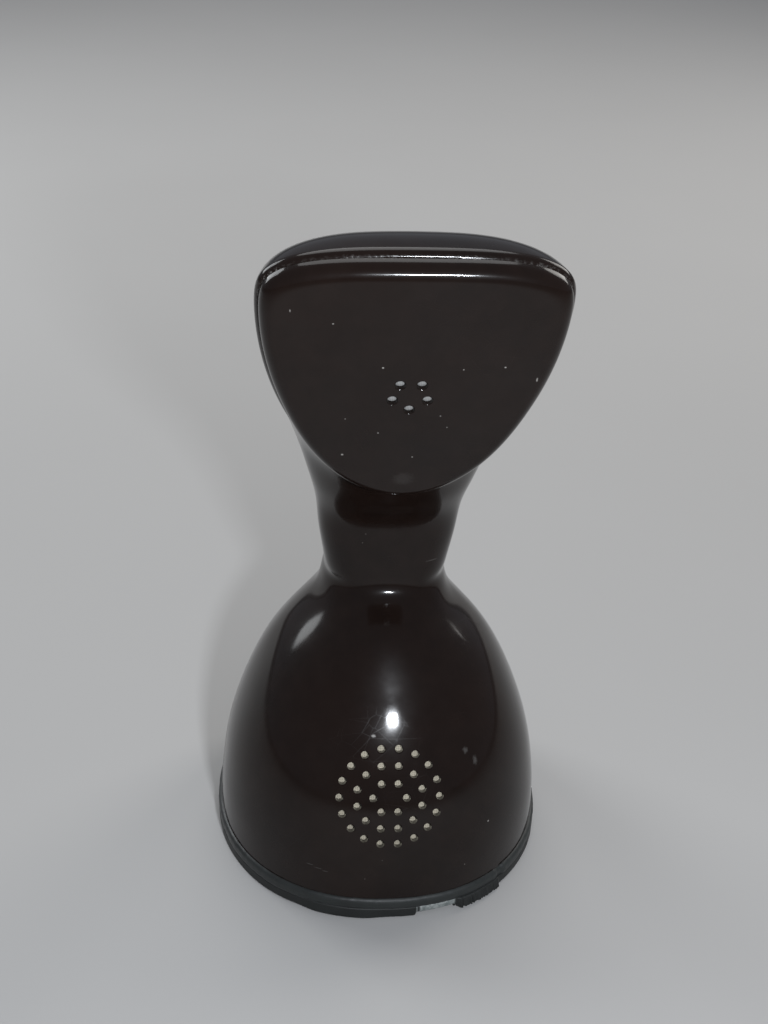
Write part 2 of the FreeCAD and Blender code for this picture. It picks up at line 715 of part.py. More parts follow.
# Base plate
base_plate = outline(size("shell_step") + wall + size("base_play"))
base_plate.translate(Vector(0, 0, foot_top))
base_plate = base_plate.extrude(Vector(0, 0, size("base_thick")))
base_cuts = [rod(size("dial_hole_r"), 0, 20)]
base_holes = [foot_point(angle) for angle in BASE_SCREWS]
base_holes += [polar(frame_ear_ring, angle) for angle in DIAL_SCREWS]
for x, y in base_holes:
    base_cuts.append(rod(size("base_screw_r") + size("fit_gap"), 0, 20, value(x), value(y)))
base_plate = base_plate.cut(base_cuts)
keep(made("base", base_plate), "base_plate")
inserts = []
for k, angle in enumerate(BASE_SCREWS):
    x, y = foot_point(angle)
    inserts.append(tube(f"insert{k}", "Size.insert_r", "Size.base_screw_r + Size.fit_gap",
                        "Size.insert_length", x, y, base_top))
keep(group("inserts", *inserts), "shell_inserts")
screws = []
for k, angle in enumerate(BASE_SCREWS):
    x, y = foot_point(angle)
    screws.append(screw(f"base_screw{k}", "Size.base_screw_r", "Size.base_thick + Size.insert_length",
                        "Size.screw_head_r", "Size.screw_head_height", x, y,
                        f"{base_z} - Size.screw_head_height"))
for k, angle in enumerate(DIAL_SCREWS):
    x, y = polar(frame_ear_ring, angle)
    screws.append(screw(f"dial_screw{k}", "Size.base_screw_r", "Size.base_thick + 3",
                        "Size.screw_head_r", "Size.screw_head_height", x, y,
                        f"{base_z} - Size.screw_head_height"))
keep(group("base_screw_set", *screws), "base_screws")

# Cord inlet
grommet_flange = cylinder("grommet_flange", "Size.inlet_flange_r", "Size.inlet_flange_thick")
grommet_body = cylinder("grommet_body", "Size.inlet_body_r", "Size.inlet_length", 0, 0, "-Size.inlet_length")
grommet_bore = cylinder("grommet_bore", "Size.inlet_bore_r", "Size.inlet_length + Size.inlet_flange_thick",
                        0, 0, "-Size.inlet_length")
grommet = cut("grommet", fuse("grommet_solid", grommet_flange, grommet_body), grommet_bore)
grommet.Placement = Placement(Vector(), Rotation(Vector(1, 0, 0), -90))
keep(place(grommet, 0, "Size.inlet_y", "Size.inlet_z"), "cord_grommet")


# Flat pieces that are drawn and padded: sketches on their own bodies' XY planes
def origin_feature(body, role):
    return next(f for f in body.Origin.OriginFeatures if f.Role == role)


def circles_sketch(body, name, circles, level):
    """A sketch of circles, each (x, y, radius) as expressions, at a level over the body's XY plane."""
    sketch = body.newObject("Sketcher::SketchObject", name)
    sketch.AttachmentSupport = [(origin_feature(body, "XY_Plane"), "")]
    sketch.MapMode = "FlatFace"
    sketch.setExpression("AttachmentOffset.Base.z", str(level))
    for x, y, radius in circles:
        index = sketch.addGeometry(Part.Circle(Vector(1, 1, 0), Vector(0, 0, 1), 5), False)
        for kind, text in (("DistanceX", x), ("DistanceY", y)):
            sketch.addConstraint(Sketcher.Constraint(kind, -1, 1, index, 3, 1.0))
            sketch.setExpression(f"Constraints[{sketch.ConstraintCount - 1}]", str(text))
        sketch.addConstraint(Sketcher.Constraint("Radius", index, 5.0))
        sketch.setExpression(f"Constraints[{sketch.ConstraintCount - 1}]", str(radius))
    return sketch


def pad(body, name, circles, level, height):
    feature = body.newObject("PartDesign::Pad", name)
    feature.Profile = circles_sketch(body, name + "_sketch", circles, level)
    feature.setExpression("Length", str(height))
    doc.recompute()
    return feature


def pocket(body, name, circles, level):
    """Cuts circles through everything above a level, and checks that something was cut."""
    before = body.Shape.Volume
    feature = body.newObject("PartDesign::Pocket", name)
    feature.Profile = circles_sketch(body, name + "_sketch", circles, level)
    feature.Type = "ThroughAll"
    feature.Reversed = True
    doc.recompute()
    if not body.Shape.Volume < before - 0.01:
        raise RuntimeError(f"{name} cuts nothing")
    return feature


def polar_pattern(body, name, feature, count, whole_angle):
    pattern = body.newObject("PartDesign::PolarPattern", name)
    pattern.Originals = [feature]
    pattern.Axis = (origin_feature(body, "Z_Axis"), [""])
    pattern.setExpression("Angle", str(whole_angle))
    pattern.Occurrences = count
    body.Tip = pattern
    doc.recompute()
    return pattern


# Finger wheel: ten holes, and a window in the middle for the hook button under a thin web
wheel = doc.addObject("PartDesign::Body", "FingerWheel")
first_hole = "Size.stop_angle - 2 * Size.finger_step"
pad(wheel, "wheel_disc", [(0, 0, "Size.wheel_r"), (0, 0, "Size.wheel_window_r")], "Size.wheel_z",
    "Size.wheel_thick")
pad(wheel, "wheel_hub", [(0, 0, "Size.hub_r"), (0, 0, "Size.shaft_bore_r")], wheel_top, "Size.hub_thick")
hub_screw_at = polar("Size.wheel_screw_ring_r", 0)
hub_hole = pocket(wheel, "hub_hole", [(*hub_screw_at, "Size.wheel_screw_r + Size.fit_gap")], 0)
polar_pattern(wheel, "hub_holes", hub_hole, 3, "240")
finger_at = polar("Size.finger_ring_r", first_hole)
finger_hole = pocket(wheel, "finger_hole", [(*finger_at, "Size.finger_hole_r")], 0)
finger_pattern = polar_pattern(wheel, "finger_holes", finger_hole, 10, "9 * Size.finger_step")
finger_pattern.Reversed = True
wheel_round = wheel.newObject("PartDesign::Fillet", "wheel_round")
wheel_round.Base = (finger_pattern, [f"Edge{k}" for k, edge in enumerate(finger_pattern.Shape.Edges, start=1)
                                     if edge.BoundBox.ZMax < size("wheel_z") + 0.01])
wheel_round.setExpression("Radius", "Size.wheel_round")
doc.recompute()
keep(wheel, "finger_wheel")

# Number ring, fixed under the frame
ring = doc.addObject("PartDesign::Body", "NumberRing")
pad(ring, "number_disc", [(0, 0, "Size.dial_hole_r - 0.4"), (0, 0, "Size.number_ring_inner_r")],
    f"{frame_z} - Size.number_ring_thick", "Size.number_ring_thick")
keep(ring, "number_ring")

# Spindle places, as expressions and as numbers
gear_distance = "Size.gear_module * (Size.gear_teeth + Size.pinion_teeth) / 2"
pulse_x, pulse_y = polar(gear_distance, "Size.pulse_angle")
train_distance = "Size.governor_module * (Size.pulse_wheel_teeth + Size.governor_teeth) / 2"
train_x, train_y = polar(train_distance, "Size.governor_angle")
governor_x = f"{pulse_x} + {train_x}"
governor_y = f"{pulse_y} + {train_y}"
pulse_reach = size("gear_module") * (size("gear_teeth") + size("pinion_teeth")) / 2
pulse_at = corner(pulse_reach, size("pulse_angle"))
train_reach = size("governor_module") * (size("pulse_wheel_teeth") + size("governor_teeth")) / 2
train_step = corner(train_reach, size("governor_angle"))
governor_at = (pulse_at[0] + train_step[0], pulse_at[1] + train_step[1])

# Dial frame: plate with a raised bearing, a seat on the base plate and three ears
frame = doc.addObject("PartDesign::Body", "DialFrame")
pad(frame, "frame_plate", [(0, 0, "Size.frame_r"), (0, 0, "Size.shaft_r + Size.bush_wall")], frame_z,
    "Size.frame_thick")
pad(frame, "frame_boss", [(0, 0, "Size.frame_boss_r"), (0, 0, "Size.shaft_r + Size.bush_wall")], frame_top,
    "Size.frame_boss_height")
pad(frame, "frame_seat", [(0, 0, "Size.frame_r"), (0, 0, "Size.dial_hole_r")], base_top,
    f"{frame_z} - {base_top}")
ear_at = polar(frame_ear_ring, DIAL_SCREWS[0])
frame_ear = pad(frame, "frame_ear", [(*ear_at, "Size.frame_ear_r")], base_top, f"{frame_top} - {base_top}")
polar_pattern(frame, "frame_ears", frame_ear, 3, "240")
ear_hole = pocket(frame, "ear_hole", [(*ear_at, "Size.base_screw_r + Size.fit_gap")], 0)
polar_pattern(frame, "ear_holes", ear_hole, 3, "240")
spindle_fit = "Size.spindle_r + Size.fit_gap"
pocket(frame, "spindle_holes", [(pulse_x, pulse_y, spindle_fit), (governor_x, governor_y, spindle_fit)], 0)
keep(frame, "dial_frame")

bush = tube("bush", "Size.shaft_r + Size.bush_wall", "Size.shaft_r + Size.fit_gap",
            f"{boss_top} - {frame_z}", 0, 0, frame_z)
keep(bush, "shaft_bush")

# Dial shaft, hollow for the hook button's rod
shaft_top = f"({mech_z} - 0.8)"
shaft_body = fuse("shaft_body",
                  cylinder("shaft_flange", "Size.shaft_flange_r", "Size.shaft_flange_thick", 0, 0, flange_z),
                  cylinder("shaft_stem", "Size.shaft_r", f"{shaft_top} - {flange_z}", 0, 0, flange_z))
shaft_cuts = [cylinder("shaft_bore", "Size.shaft_bore_r", "40")]
for k in range(3):
    x, y = polar("Size.wheel_screw_ring_r", 120 * k)
    shaft_cuts.append(cylinder(f"shaft_hole{k}", "Size.wheel_screw_r + Size.fit_gap",
                               "Size.shaft_flange_thick + 0.2", x, y, f"{flange_z} - 0.1"))
keep(cut("shaft", shaft_body, *shaft_cuts), "dial_shaft")
screws = []
for k in range(3):
    x, y = polar("Size.wheel_screw_ring_r", 120 * k)
    screws.append(screw(f"wheel_screw{k}", "Size.wheel_screw_r",
                        "Size.hub_thick + Size.shaft_flange_thick - 0.1", "Size.wheel_head_r",
                        "Size.wheel_head_height", x, y, f"{wheel_top} - Size.wheel_head_height"))
keep(group("wheel_screw_set", *screws), "wheel_screws")

# Finger stop: a foot under the base plate, a riser outside the wheel and an arm under the finger holes
stop_riser_x = "(Size.wheel_r + Size.stop_clear)"
stop_tip_x = "(Size.finger_ring_r - Size.stop_reach)"
stop_half = "Size.stop_width / 2"
stop_low = "Size.wheel_z - Size.run_gap - Size.stop_thick"
stop_arm = box("stop_arm", f"{stop_riser_x} + Size.stop_riser_thick - {stop_tip_x}", "Size.stop_width",
               "Size.stop_thick", stop_tip_x, f"-{stop_half}", stop_low)
stop_riser = box("stop_riser", "Size.stop_riser_thick", "Size.stop_width", f"{base_z} - ({stop_low})",
                 stop_riser_x, f"-{stop_half}", stop_low)
stop_foot = box("stop_foot", "Size.stop_foot_length", "Size.stop_width", "Size.stop_foot_thick", stop_riser_x,
                f"-{stop_half}", f"{base_z} - Size.stop_foot_thick")
stop = fuse("stop", stop_arm, stop_riser, stop_foot)
keep(turn(stop, Vector(0, 0, 1), "Size.stop_angle"), "finger_stop")


# Gears
def gear_face(teeth, module, backlash):
    """A face with involute teeth, one of them centred on the X axis."""
    pitch = module * teeth / 2
    base = pitch * math.cos(math.radians(20))
    tip, root = pitch + 0.9 * module, pitch - 1.2 * module
    involute = math.tan(math.radians(20)) - math.radians(20)
    half = math.pi / (2 * teeth) - backlash / (2 * pitch)

    def flank(radius):
        """Half of a tooth's angle at a radius."""
        if radius <= base:
            return half + involute
        open_angle = math.acos(base / radius)
        return half + involute - (math.tan(open_angle) - open_angle)

    def point(radius, angle):
        return Vector(radius * math.cos(angle), radius * math.sin(angle), 0)

    def arc(*places):
        """An arc through three places, each a radius and an angle."""
        return Part.Arc(*[point(radius, angle) for radius, angle in places])

    low = max(root, base)
    halfway = (low + tip) / 2
    edges = []
    for k in range(teeth):
        middle = 2 * math.pi * k / teeth
        following = middle + 2 * math.pi / teeth
        edges.append(arc(*[(radius, middle - flank(radius)) for radius in (low, halfway, tip)]))
        edges.append(arc((tip, middle - flank(tip)), (tip, middle), (tip, middle + flank(tip))))
        edges.append(arc(*[(radius, middle + flank(radius)) for radius in (tip, halfway, low)]))
        start, end = middle + flank(low), following - flank(low)
        if low > root:
            edges.append(Part.LineSegment(point(low, start), point(root, start)))
        edges.append(arc((root, start), (root, (start + end) / 2), (root, end)))
        if low > root:
            edges.append(Part.LineSegment(point(root, end), point(low, end)))
    return Part.Face(Part.Wire([edge.toShape() for edge in edges]))


def gear(teeth, module, height, bore, angle):
    """A gear from Z = 0 up, with a tooth towards an angle."""
    body = gear_face(int(teeth), module, size("gear_backlash")).extrude(Vector(0, 0, height))
    body = body.cut(rod(bore, -1, height + 1))
    body.rotate(Vector(), Vector(0, 0, 1), angle)
    return body


def gear_part(name, teeth, module, height, bore, angle, x, y, z):
    """A gear as a feature, at a place given in expressions."""
    obj = made(name, gear(size(teeth), size(module), value(height), value(bore), angle))
    obj.Placement = Placement(Vector(value(x), value(y), value(z)), Rotation())
    return keep(obj, name)


pulse_angle = size("pulse_angle")
train_angle = size("governor_angle")
gear_part("main_gear", "gear_teeth", "gear_module", "Size.gear_thick", "Size.shaft_r", pulse_angle, 0, 0,
          gear_z)
pinion_z = f"({gear_z} - 0.4)"
half_tooth = 180 / size("pinion_teeth")
gear_part("pulse_pinion", "pinion_teeth", "gear_module", "Size.pinion_thick", "Size.spindle_r",
          pulse_angle + 180 + half_tooth, pulse_x, pulse_y, pinion_z)
cam_z = f"({pinion_z} + Size.pinion_thick + 0.4)"
pulse_wheel_z = f"({cam_z} + Size.cam_thick + 0.5)"
gear_part("pulse_wheel", "pulse_wheel_teeth", "governor_module", "Size.pulse_wheel_thick", "Size.spindle_r",
          train_angle, pulse_x, pulse_y, pulse_wheel_z)

# Pulse spindle with its two-lobed cam
spindle_z = f"({frame_z} + 0.8)"
pulse_spindle = cylinder("pulse_spindle", "Size.spindle_r", f"{mech_top} - Size.run_gap - {spindle_z}",
                         pulse_x, pulse_y, spindle_z)
keep(pulse_spindle, "pulse_spindle")
cam_disc = cylinder("cam_disc", "Size.cam_r", "Size.cam_thick", pulse_x, pulse_y, cam_z)
cam_bore = cylinder("cam_bore", "Size.spindle_r", "Size.cam_thick", pulse_x, pulse_y, cam_z)
cam_notches = [cylinder(f"cam_notch{k}", "Size.cam_notch_r", "Size.cam_thick",
                        f"{pulse_x} + {side} * (Size.cam_r + 0.4)", pulse_y, cam_z)
               for k, side in enumerate((-1, 1))]
keep(cut("cam", cam_disc, cam_bore, *cam_notches), "pulse_cam")

# Governor: spindle, cross arm with two weights, and the cup that they brush
cup_z = mech_top
arm_z = f"({cup_z} + 2.2)"
half_tooth = 180 / size("governor_teeth")
governor_teeth = gear(size("governor_teeth"), size("governor_module"), size("pulse_wheel_thick"), 0.1,
                      train_angle + 180 + half_tooth)
governor_teeth.translate(Vector(0, 0, value(pulse_wheel_z)))
governor_stem = rod(size("spindle_r"), value(spindle_z), value(cup_z) + size("governor_cup_height"))
governor_spindle = made("governor_stem", governor_stem.fuse(governor_teeth))
governor_spindle.Placement = Placement(Vector(value(governor_x), value(governor_y), 0), Rotation())
keep(governor_spindle, "governor_spindle")
arm_bar = box("governor_bar", "2 * Size.weight_ring_r", "2.4", "1", f"{governor_x} - Size.weight_ring_r",
              f"{governor_y} - 1.2", arm_z)
weights = [cylinder(f"governor_weight{k}", "Size.weight_r", "Size.weight_height",
                    f"{governor_x} + {side} * Size.weight_ring_r", governor_y, f"{arm_z} - 1.2")
           for k, side in enumerate((-1, 1))]
arm_hub = cylinder("governor_hub", "2", "2.4", governor_x, governor_y, f"{arm_z} - 0.7")
arm_bore = cylinder("governor_bore", "Size.spindle_r", "5", governor_x, governor_y, f"{arm_z} - 2")
keep(cut("governor_arm", fuse("governor_arm_solid", arm_bar, arm_hub, *weights), arm_bore), "governor_arm")
keep(tube("governor_cup", "Size.governor_cup_r", "Size.governor_cup_r - Size.governor_cup_wall",
          "Size.governor_cup_height", governor_x, governor_y, cup_z), "governor_cup")

# Mechanism plate on three pillars
mech = doc.addObject("PartDesign::Body", "MechanismPlate")
pad(mech, "mech_disc", [(0, 0, "Size.mech_plate_r"), (0, 0, "Size.rod_r + Size.hook_bush_wall")], mech_z,
    "Size.mech_plate_thick")
pocket(mech, "mech_spindles", [(pulse_x, pulse_y, spindle_fit), (governor_x, governor_y, spindle_fit)], 0)
keep(mech, "mechanism_plate")
PILLARS = (20, 95, 285)
pillars = []
for k, angle in enumerate(PILLARS):
    x, y = polar("Size.pillar_ring_r", angle)
    pillars.append(cylinder(f"pillar{k}", "Size.pillar_r", f"{mech_z} - {frame_top}", x, y, frame_top))
keep(group("pillars", *pillars), "mechanism_pillars")

# Return spring, a flat spiral in a barrel that hangs from the mechanism plate
spring_z = f"({gear_top} + 0.7)"


def spiral(start, pitch, turns, radial):
    """A curve through points of a flat spiral, pushed outward by radial."""
    points = []
    for k in range(int(turns * 16) + 1):
        angle = 2 * math.pi * k / 16
        radius = start + pitch * angle / (2 * math.pi) + radial
        points.append(Vector(radius * math.cos(angle), radius * math.sin(angle), 0))
    curve = Part.BSplineCurve()
    curve.interpolate(points)
    return curve.toShape()


leaf = size("spring_leaf")
turns = 4.5
spring_pitch = (size("spring_outer_r") - size("spring_inner_r")) / turns
inner_side = spiral(size("spring_inner_r"), spring_pitch, turns, 0)
outer_side = spiral(size("spring_inner_r"), spring_pitch, turns, leaf)
ends = [Part.makeLine(inner_side.Vertexes[i].Point, outer_side.Vertexes[i].Point) for i in (0, -1)]
spring_face = Part.Face(Part.Wire(Part.__sortEdges__([inner_side, outer_side] + ends)))
spring = spring_face.extrude(Vector(0, 0, size("spring_height")))
spring_obj = made("dial_spring", spring)
spring_obj.Placement = Placement(Vector(0, 0, value(spring_z)), Rotation())
keep(spring_obj, "dial_return_spring")
barrel = fuse("barrel",
              tube("barrel_ring", "Size.barrel_r", "Size.barrel_r - Size.barrel_wall",
                   f"{mech_z} - ({gear_top} + 0.4)", 0, 0, f"{gear_top} + 0.4"),
              box("barrel_hook", "Size.barrel_r - Size.spring_outer_r - 0.7", "0.8", "Size.spring_height",
                  "-(Size.barrel_r - 0.3)", "-0.4", spring_z))
keep(barrel, "spring_barrel")

# Pulse contacts: two leaves beside the cam, in a block under the mechanism plate
leaf_y = f"({pulse_y} + Size.cam_r + 0.5)"
block_x = f"({pulse_x} + 8.7)"
contact_block = box("contact_block", "6", "5", f"{mech_z} - ({gear_top} + 0.6)", block_x, f"{leaf_y} - 1.2",
                    f"{gear_top} + 0.6")
def contact_leaf(name, k):
    """One leaf of the pulse contacts, or the slot for it in the block."""
    return box(f"{name}{k}", "Size.contact_reach + 3", "Size.blade_thick", "Size.contact_height",
               f"{block_x} - Size.contact_reach", f"{leaf_y} + {k} * Size.contact_step", f"{cam_z} - 0.3")


leaves = [contact_leaf("contact_leaf", k) for k in range(2)]
leaf_slots = [contact_leaf("contact_slot", k) for k in range(2)]
keep(cut("contact_body", contact_block, *leaf_slots), "pulse_contact_block")
keep(group("contact_leaves", *leaves), "pulse_contacts")

# Hook button on its rod: a cup flush with the foot, with a shouldered rod through the hollow shaft
button = cut("button",
             cylinder("button_solid", "Size.button_r", "Size.button_height"),
             tube("button_hollow", "Size.button_r - Size.button_wall", "Size.rod_r + 1.6",
                  "Size.button_height - Size.button_wall", 0, 0, "Size.button_wall"),
             cylinder("button_socket", "Size.rod_r", "Size.button_height - Size.button_wall", 0, 0,
                      "Size.button_wall"))
button_rim = size("button_r") - 0.1
button_round = rounded("button_round", button, "Size.button_round",
                       lambda edge: edge.BoundBox.ZMax < 0.01 and edge.BoundBox.XMax > button_rim)
keep(button_round, "hook_button")
rod_solid = fuse("rod_solid",
                 cylinder("rod_stem", "Size.rod_r", "Size.rod_shoulder_z - Size.button_wall", 0, 0,
                          "Size.button_wall"),
                 cylinder("rod_tip", "Size.rod_tip_r", "Size.rod_top_z - Size.button_wall", 0, 0,
                          "Size.button_wall"))
keep(rod_solid, "hook_rod")
bush_low = f"({mech_z} - 0.5)"
hook_bush_r = "Size.rod_r + Size.hook_bush_wall"
hook_bush_solid = fuse("hook_bush_solid",
                       cylinder("hook_bush_stem", hook_bush_r, f"{mech_top} + 2 - {bush_low}", 0, 0,
                                bush_low),
                       cylinder("hook_bush_flange", "Size.hook_bush_flange_r", "1", 0, 0, mech_top))
hook_bush_bore = cylinder("hook_bush_bore", "Size.rod_r + Size.fit_gap", "10", 0, 0, f"{bush_low} - 1")
hook_bush = cut("hook_bush", hook_bush_solid, hook_bush_bore)
keep(hook_bush, "hook_bush")

# Hook spring: a coil round the rod's tip, from the shoulder to the bridge
coil_low = size("rod_shoulder_z")
coil_high = size("bridge_z")
wire = size("hook_spring_wire") / 2
coil_length = coil_high - coil_low - 2 * wire
coil_turns = int(coil_length / size("hook_spring_pitch"))
coil_lead = coil_length / coil_turns


def arc_middle(start, way, end):
    """The middle of the arc from start to end that leaves start along way."""
    chord = end - start
    side = (way - chord * (way.dot(chord) / chord.dot(chord))).normalize()
    return (start + end) * 0.5 + side * (chord.Length / 2 * math.tan(way.getAngle(chord) / 2))


def biarc(start, way_in, end, way_out):
    """Two arcs from start to end that leave along way_in and arrive along way_out, both of length one."""
    chord = end - start
    ahead = chord.dot(way_in + way_out)
    spare = 2 * (1 - way_in.dot(way_out))
    reach = (math.sqrt(ahead ** 2 + spare * chord.dot(chord)) - ahead) / spare
    joint = (start + way_in * reach + end - way_out * reach) * 0.5
    return [Part.Arc(start, arc_middle(start, way_in, joint), joint),
            Part.Arc(joint, arc_middle(end, way_out * -1, joint), end)]


def coil_place(quarter):
    """A point on the hook spring's line, and the way that it runs there."""
    radius = size("hook_spring_r")
    angle = math.pi / 2 * quarter
    point = Vector(radius * math.cos(angle), radius * math.sin(angle), coil_lead * quarter / 4)
    way = Vector(-radius * math.sin(angle), radius * math.cos(angle), coil_lead / (2 * math.pi))
    return point, way.normalize()


coil_places = [coil_place(quarter) for quarter in range(4 * coil_turns + 1)]
coil_arcs = [edge for one, two in zip(coil_places, coil_places[1:]) for edge in biarc(*one, *two)]
coil_path = Part.Wire([edge.toShape() for edge in coil_arcs])
coil = coil_path.makePipeShell([Part.Wire(Part.makeCircle(wire, *coil_places[0]))], True, False)
print("hook_spring gap between turns", round(coil_lead - 2 * wire, 2))
coil_obj = made("hook_coil", coil)
coil_obj.Placement = Placement(Vector(0, 0, coil_low + wire), Rotation())
keep(coil_obj, "hook_spring")

# Bridge over the rod, with two ears for the lever's pin
bridge_length = "(Size.bridge_rear - Size.bridge_front)"
bridge_parts = [box("bridge_web", "2 * Size.bridge_half_width", bridge_length, "Size.bridge_thick",
                    "-Size.bridge_half_width", "Size.bridge_front", "Size.bridge_z")]
for k, y in enumerate(("Size.bridge_front", "Size.bridge_rear - Size.bridge_thick")):
    bridge_parts.append(box(f"bridge_leg{k}", "2 * Size.bridge_half_width", "Size.bridge_thick",
                            f"Size.bridge_z - {mech_top}", "-Size.bridge_half_width", y, mech_top))
pin_y = "Size.lever_pivot_y"
lever_low = "(Size.rod_top_z + Size.run_gap)"
pin_z = f"({lever_low} + Size.lever_thick / 2)"
ear_gap = "(Size.lever_half_width + 0.4)"
for k, x in enumerate((f"-{ear_gap} - Size.bridge_thick", ear_gap)):
    bridge_parts.append(box(f"bridge_ear{k}", "Size.bridge_thick", "5", f"{pin_z} + 2.5 - {bridge_top}", x,
                            f"{pin_y} - 2.5", bridge_top))
pin_cut = cylinder("bridge_pin_hole", "Size.pin_r", "30", -15, pin_y, pin_z)
pin_cut.Placement = Placement(Vector(), Rotation(Vector(0, 1, 0), 90))
bridge = cut("bridge", fuse("bridge_solid", *bridge_parts), pin_cut,
             cylinder("bridge_hole", "Size.rod_tip_r + Size.run_gap", "5", 0, 0, "Size.bridge_z - 1"))
keep(bridge, "hook_bridge")
pin_length = f"2 * ({ear_gap} + Size.bridge_thick)"
pin = cylinder("lever_pin", "Size.pin_r", pin_length, f"-({pin_length}) / 2", pin_y, pin_z)
pin.Placement = Placement(Vector(), Rotation(Vector(0, 1, 0), 90))
keep(pin, "lever_pin")
lever_width = "2 * Size.lever_half_width"
lever_side = "-Size.lever_half_width"
lever_bar = box("lever_bar", lever_width, f"{pin_y} - Size.lever_front + 1", "Size.lever_thick", lever_side,
                "Size.lever_front", lever_low)
lever_eye = cylinder("lever_eye", "Size.lever_eye_r", lever_width, lever_side, pin_y, pin_z)
lever_bore = cylinder("lever_bore", "Size.pin_r + Size.fit_gap", lever_width, lever_side, pin_y, pin_z)
for obj in (lever_eye, lever_bore):
    obj.Placement = Placement(Vector(), Rotation(Vector(0, 1, 0), 90))
lever_post = cylinder("lever_post", "1.2", f"{pin_z} + Size.lever_eye_r - {lever_low}", 0, "3.5", lever_low)
keep(cut("lever", fuse("lever_solid", lever_bar, lever_eye, lever_post), lever_bore), "hook_lever")

# Switch leaves over the lever, in a block on the bridge
leaf_low = f"({pin_z} + Size.lever_eye_r + Size.run_gap)"
switch_y = f"({pin_y} + Size.lever_eye_r + 1.2)"
switch_leaves = []
switch_slots = []
for k in range(2):
    for made_list, name in ((switch_leaves, "switch_leaf"), (switch_slots, "switch_slot")):
        made_list.append(box(f"{name}{k}", "3", "20", "Size.blade_thick", "-1.5", f"{switch_y} - 15",
                             f"{leaf_low} + {1.1 * k}"))
switch_block = box("switch_block_solid", "9", "5.2", f"{leaf_low} + 2 - {bridge_top}", "-4.5", switch_y,
                   bridge_top)
keep(cut("switch_block", switch_block, *switch_slots), "switch_block")
keep(group("switch_leaf_set", *switch_leaves), "switch_contacts")

# Circuit board on three standoffs, with the coil, the capacitor and the terminals
STANDOFFS = (("Size.board_half_width - 4", "Size.board_front + 5"),
             ("Size.board_half_width - 4", "Size.board_rear - 4"),
             ("-Size.board_half_width + 5", "Size.board_rear - 2.6"))
board_screw_r = "Size.board_screw_r"
board_plate = box("board_plate", "2 * Size.board_half_width", "Size.board_rear - Size.board_front",
                  "Size.board_thick", "-Size.board_half_width", "Size.board_front", "Size.board_z")
board_hole_r = f"{board_screw_r} + Size.fit_gap"
board_holes = [cylinder(f"board_hole{k}", board_hole_r, "Size.board_thick", x, y, "Size.board_z")
               for k, (x, y) in enumerate(STANDOFFS)]
keep(cut("board", board_plate, *board_holes), "circuit_board")
standoffs = [tube(f"standoff{k}", "Size.standoff_r", board_hole_r, f"Size.board_z - {mech_top}", x, y,
                  mech_top) for k, (x, y) in enumerate(STANDOFFS)]
keep(group("standoff_set", *standoffs), "board_standoffs")


def screw_down(name, radius, length, head_r, head_height, x, y, z):
    """A pan-head screw that points down, with its head on a face at z."""
    head = cylinder(name + "_head", head_r, head_height, x, y, z)
    shank = cylinder(name + "_shank", radius, f"({length}) + ({head_height})", x, y, f"({z}) - ({length})")
    return fuse(name, head, shank)


board_screws = [screw_down(f"board_screw{k}", board_screw_r, "Size.board_thick + 5", "Size.board_head_r",
                           "Size.board_head_height", x, y, board_top) for k, (x, y) in enumerate(STANDOFFS)]
keep(group("board_screw_set", *board_screws), "board_screws")

# Speech coil: iron core with two windows, former and winding round the middle limb, strap over the core
core_x, core_y = "Size.coil_x", "Size.coil_y"
limb = "Size.core_limb"
window = f"((Size.core_size - 4 * {limb}) / 2)"
window_height = f"(Size.core_height - 2 * {limb})"
window_z = f"({board_top} + {limb})"
core_size = "Size.core_size"
core_block = box("core_block", core_size, core_size, "Size.core_height", core_x, core_y, board_top)
core_windows = [box(f"core_window{k}", core_size, window, window_height, core_x, f"{core_y} + {y}", window_z)
                for k, y in enumerate((limb, f"3 * {limb} + {window}"))]
keep(cut("core", core_block, *core_windows), "coil_core")
middle_y = f"({core_y} + {limb} + {window})"
former_wall = "Size.former_wall"
former_tube = box("former_tube", f"Size.core_size + 2 * {former_wall}", f"2 * {limb} + 2 * {former_wall}",
                  window_height, f"{core_x} - {former_wall}", f"{middle_y} - {former_wall}", window_z)
cheek_width = f"2 * {limb} + 2 * {window} - 0.4"
cheeks = [box(f"former_cheek{k}", "Size.core_size + 2 * Size.winding_depth", cheek_width, former_wall,
              f"{core_x} - Size.winding_depth", f"{core_y} + {limb} + 0.2", z)
          for k, z in enumerate((window_z, f"{window_z} + {window_height} - {former_wall}"))]
limb_cut = box("limb_cut", "Size.core_size", f"2 * {limb}", "Size.core_height", core_x, middle_y, board_top)
former = cut("former", fuse("former_solid", former_tube, *cheeks), limb_cut)
keep(former, "coil_former")
winding_block = box("winding_block", "Size.core_size + 2 * Size.winding_depth - 1",
                    f"2 * {limb} + 2 * {window} - 0.8", f"{window_height} - 2 * {former_wall}",
                    f"{core_x} - Size.winding_depth + 0.5", f"{core_y} + {limb} + 0.4",
                    f"{window_z} + {former_wall}")
winding_round = rounded("winding_round", winding_block, "2",
                        lambda edge: edge.BoundBox.ZLength > 1)
winding_hole = box("winding_hole", f"Size.core_size + 2 * {former_wall}", f"2 * {limb} + 2 * {former_wall}",
                   window_height, f"{core_x} - {former_wall}", f"{middle_y} - {former_wall}", window_z)
keep(cut("winding", winding_round, winding_hole), "coil_winding")
strap_x = f"({core_x} + (Size.core_size - 7) / 2)"
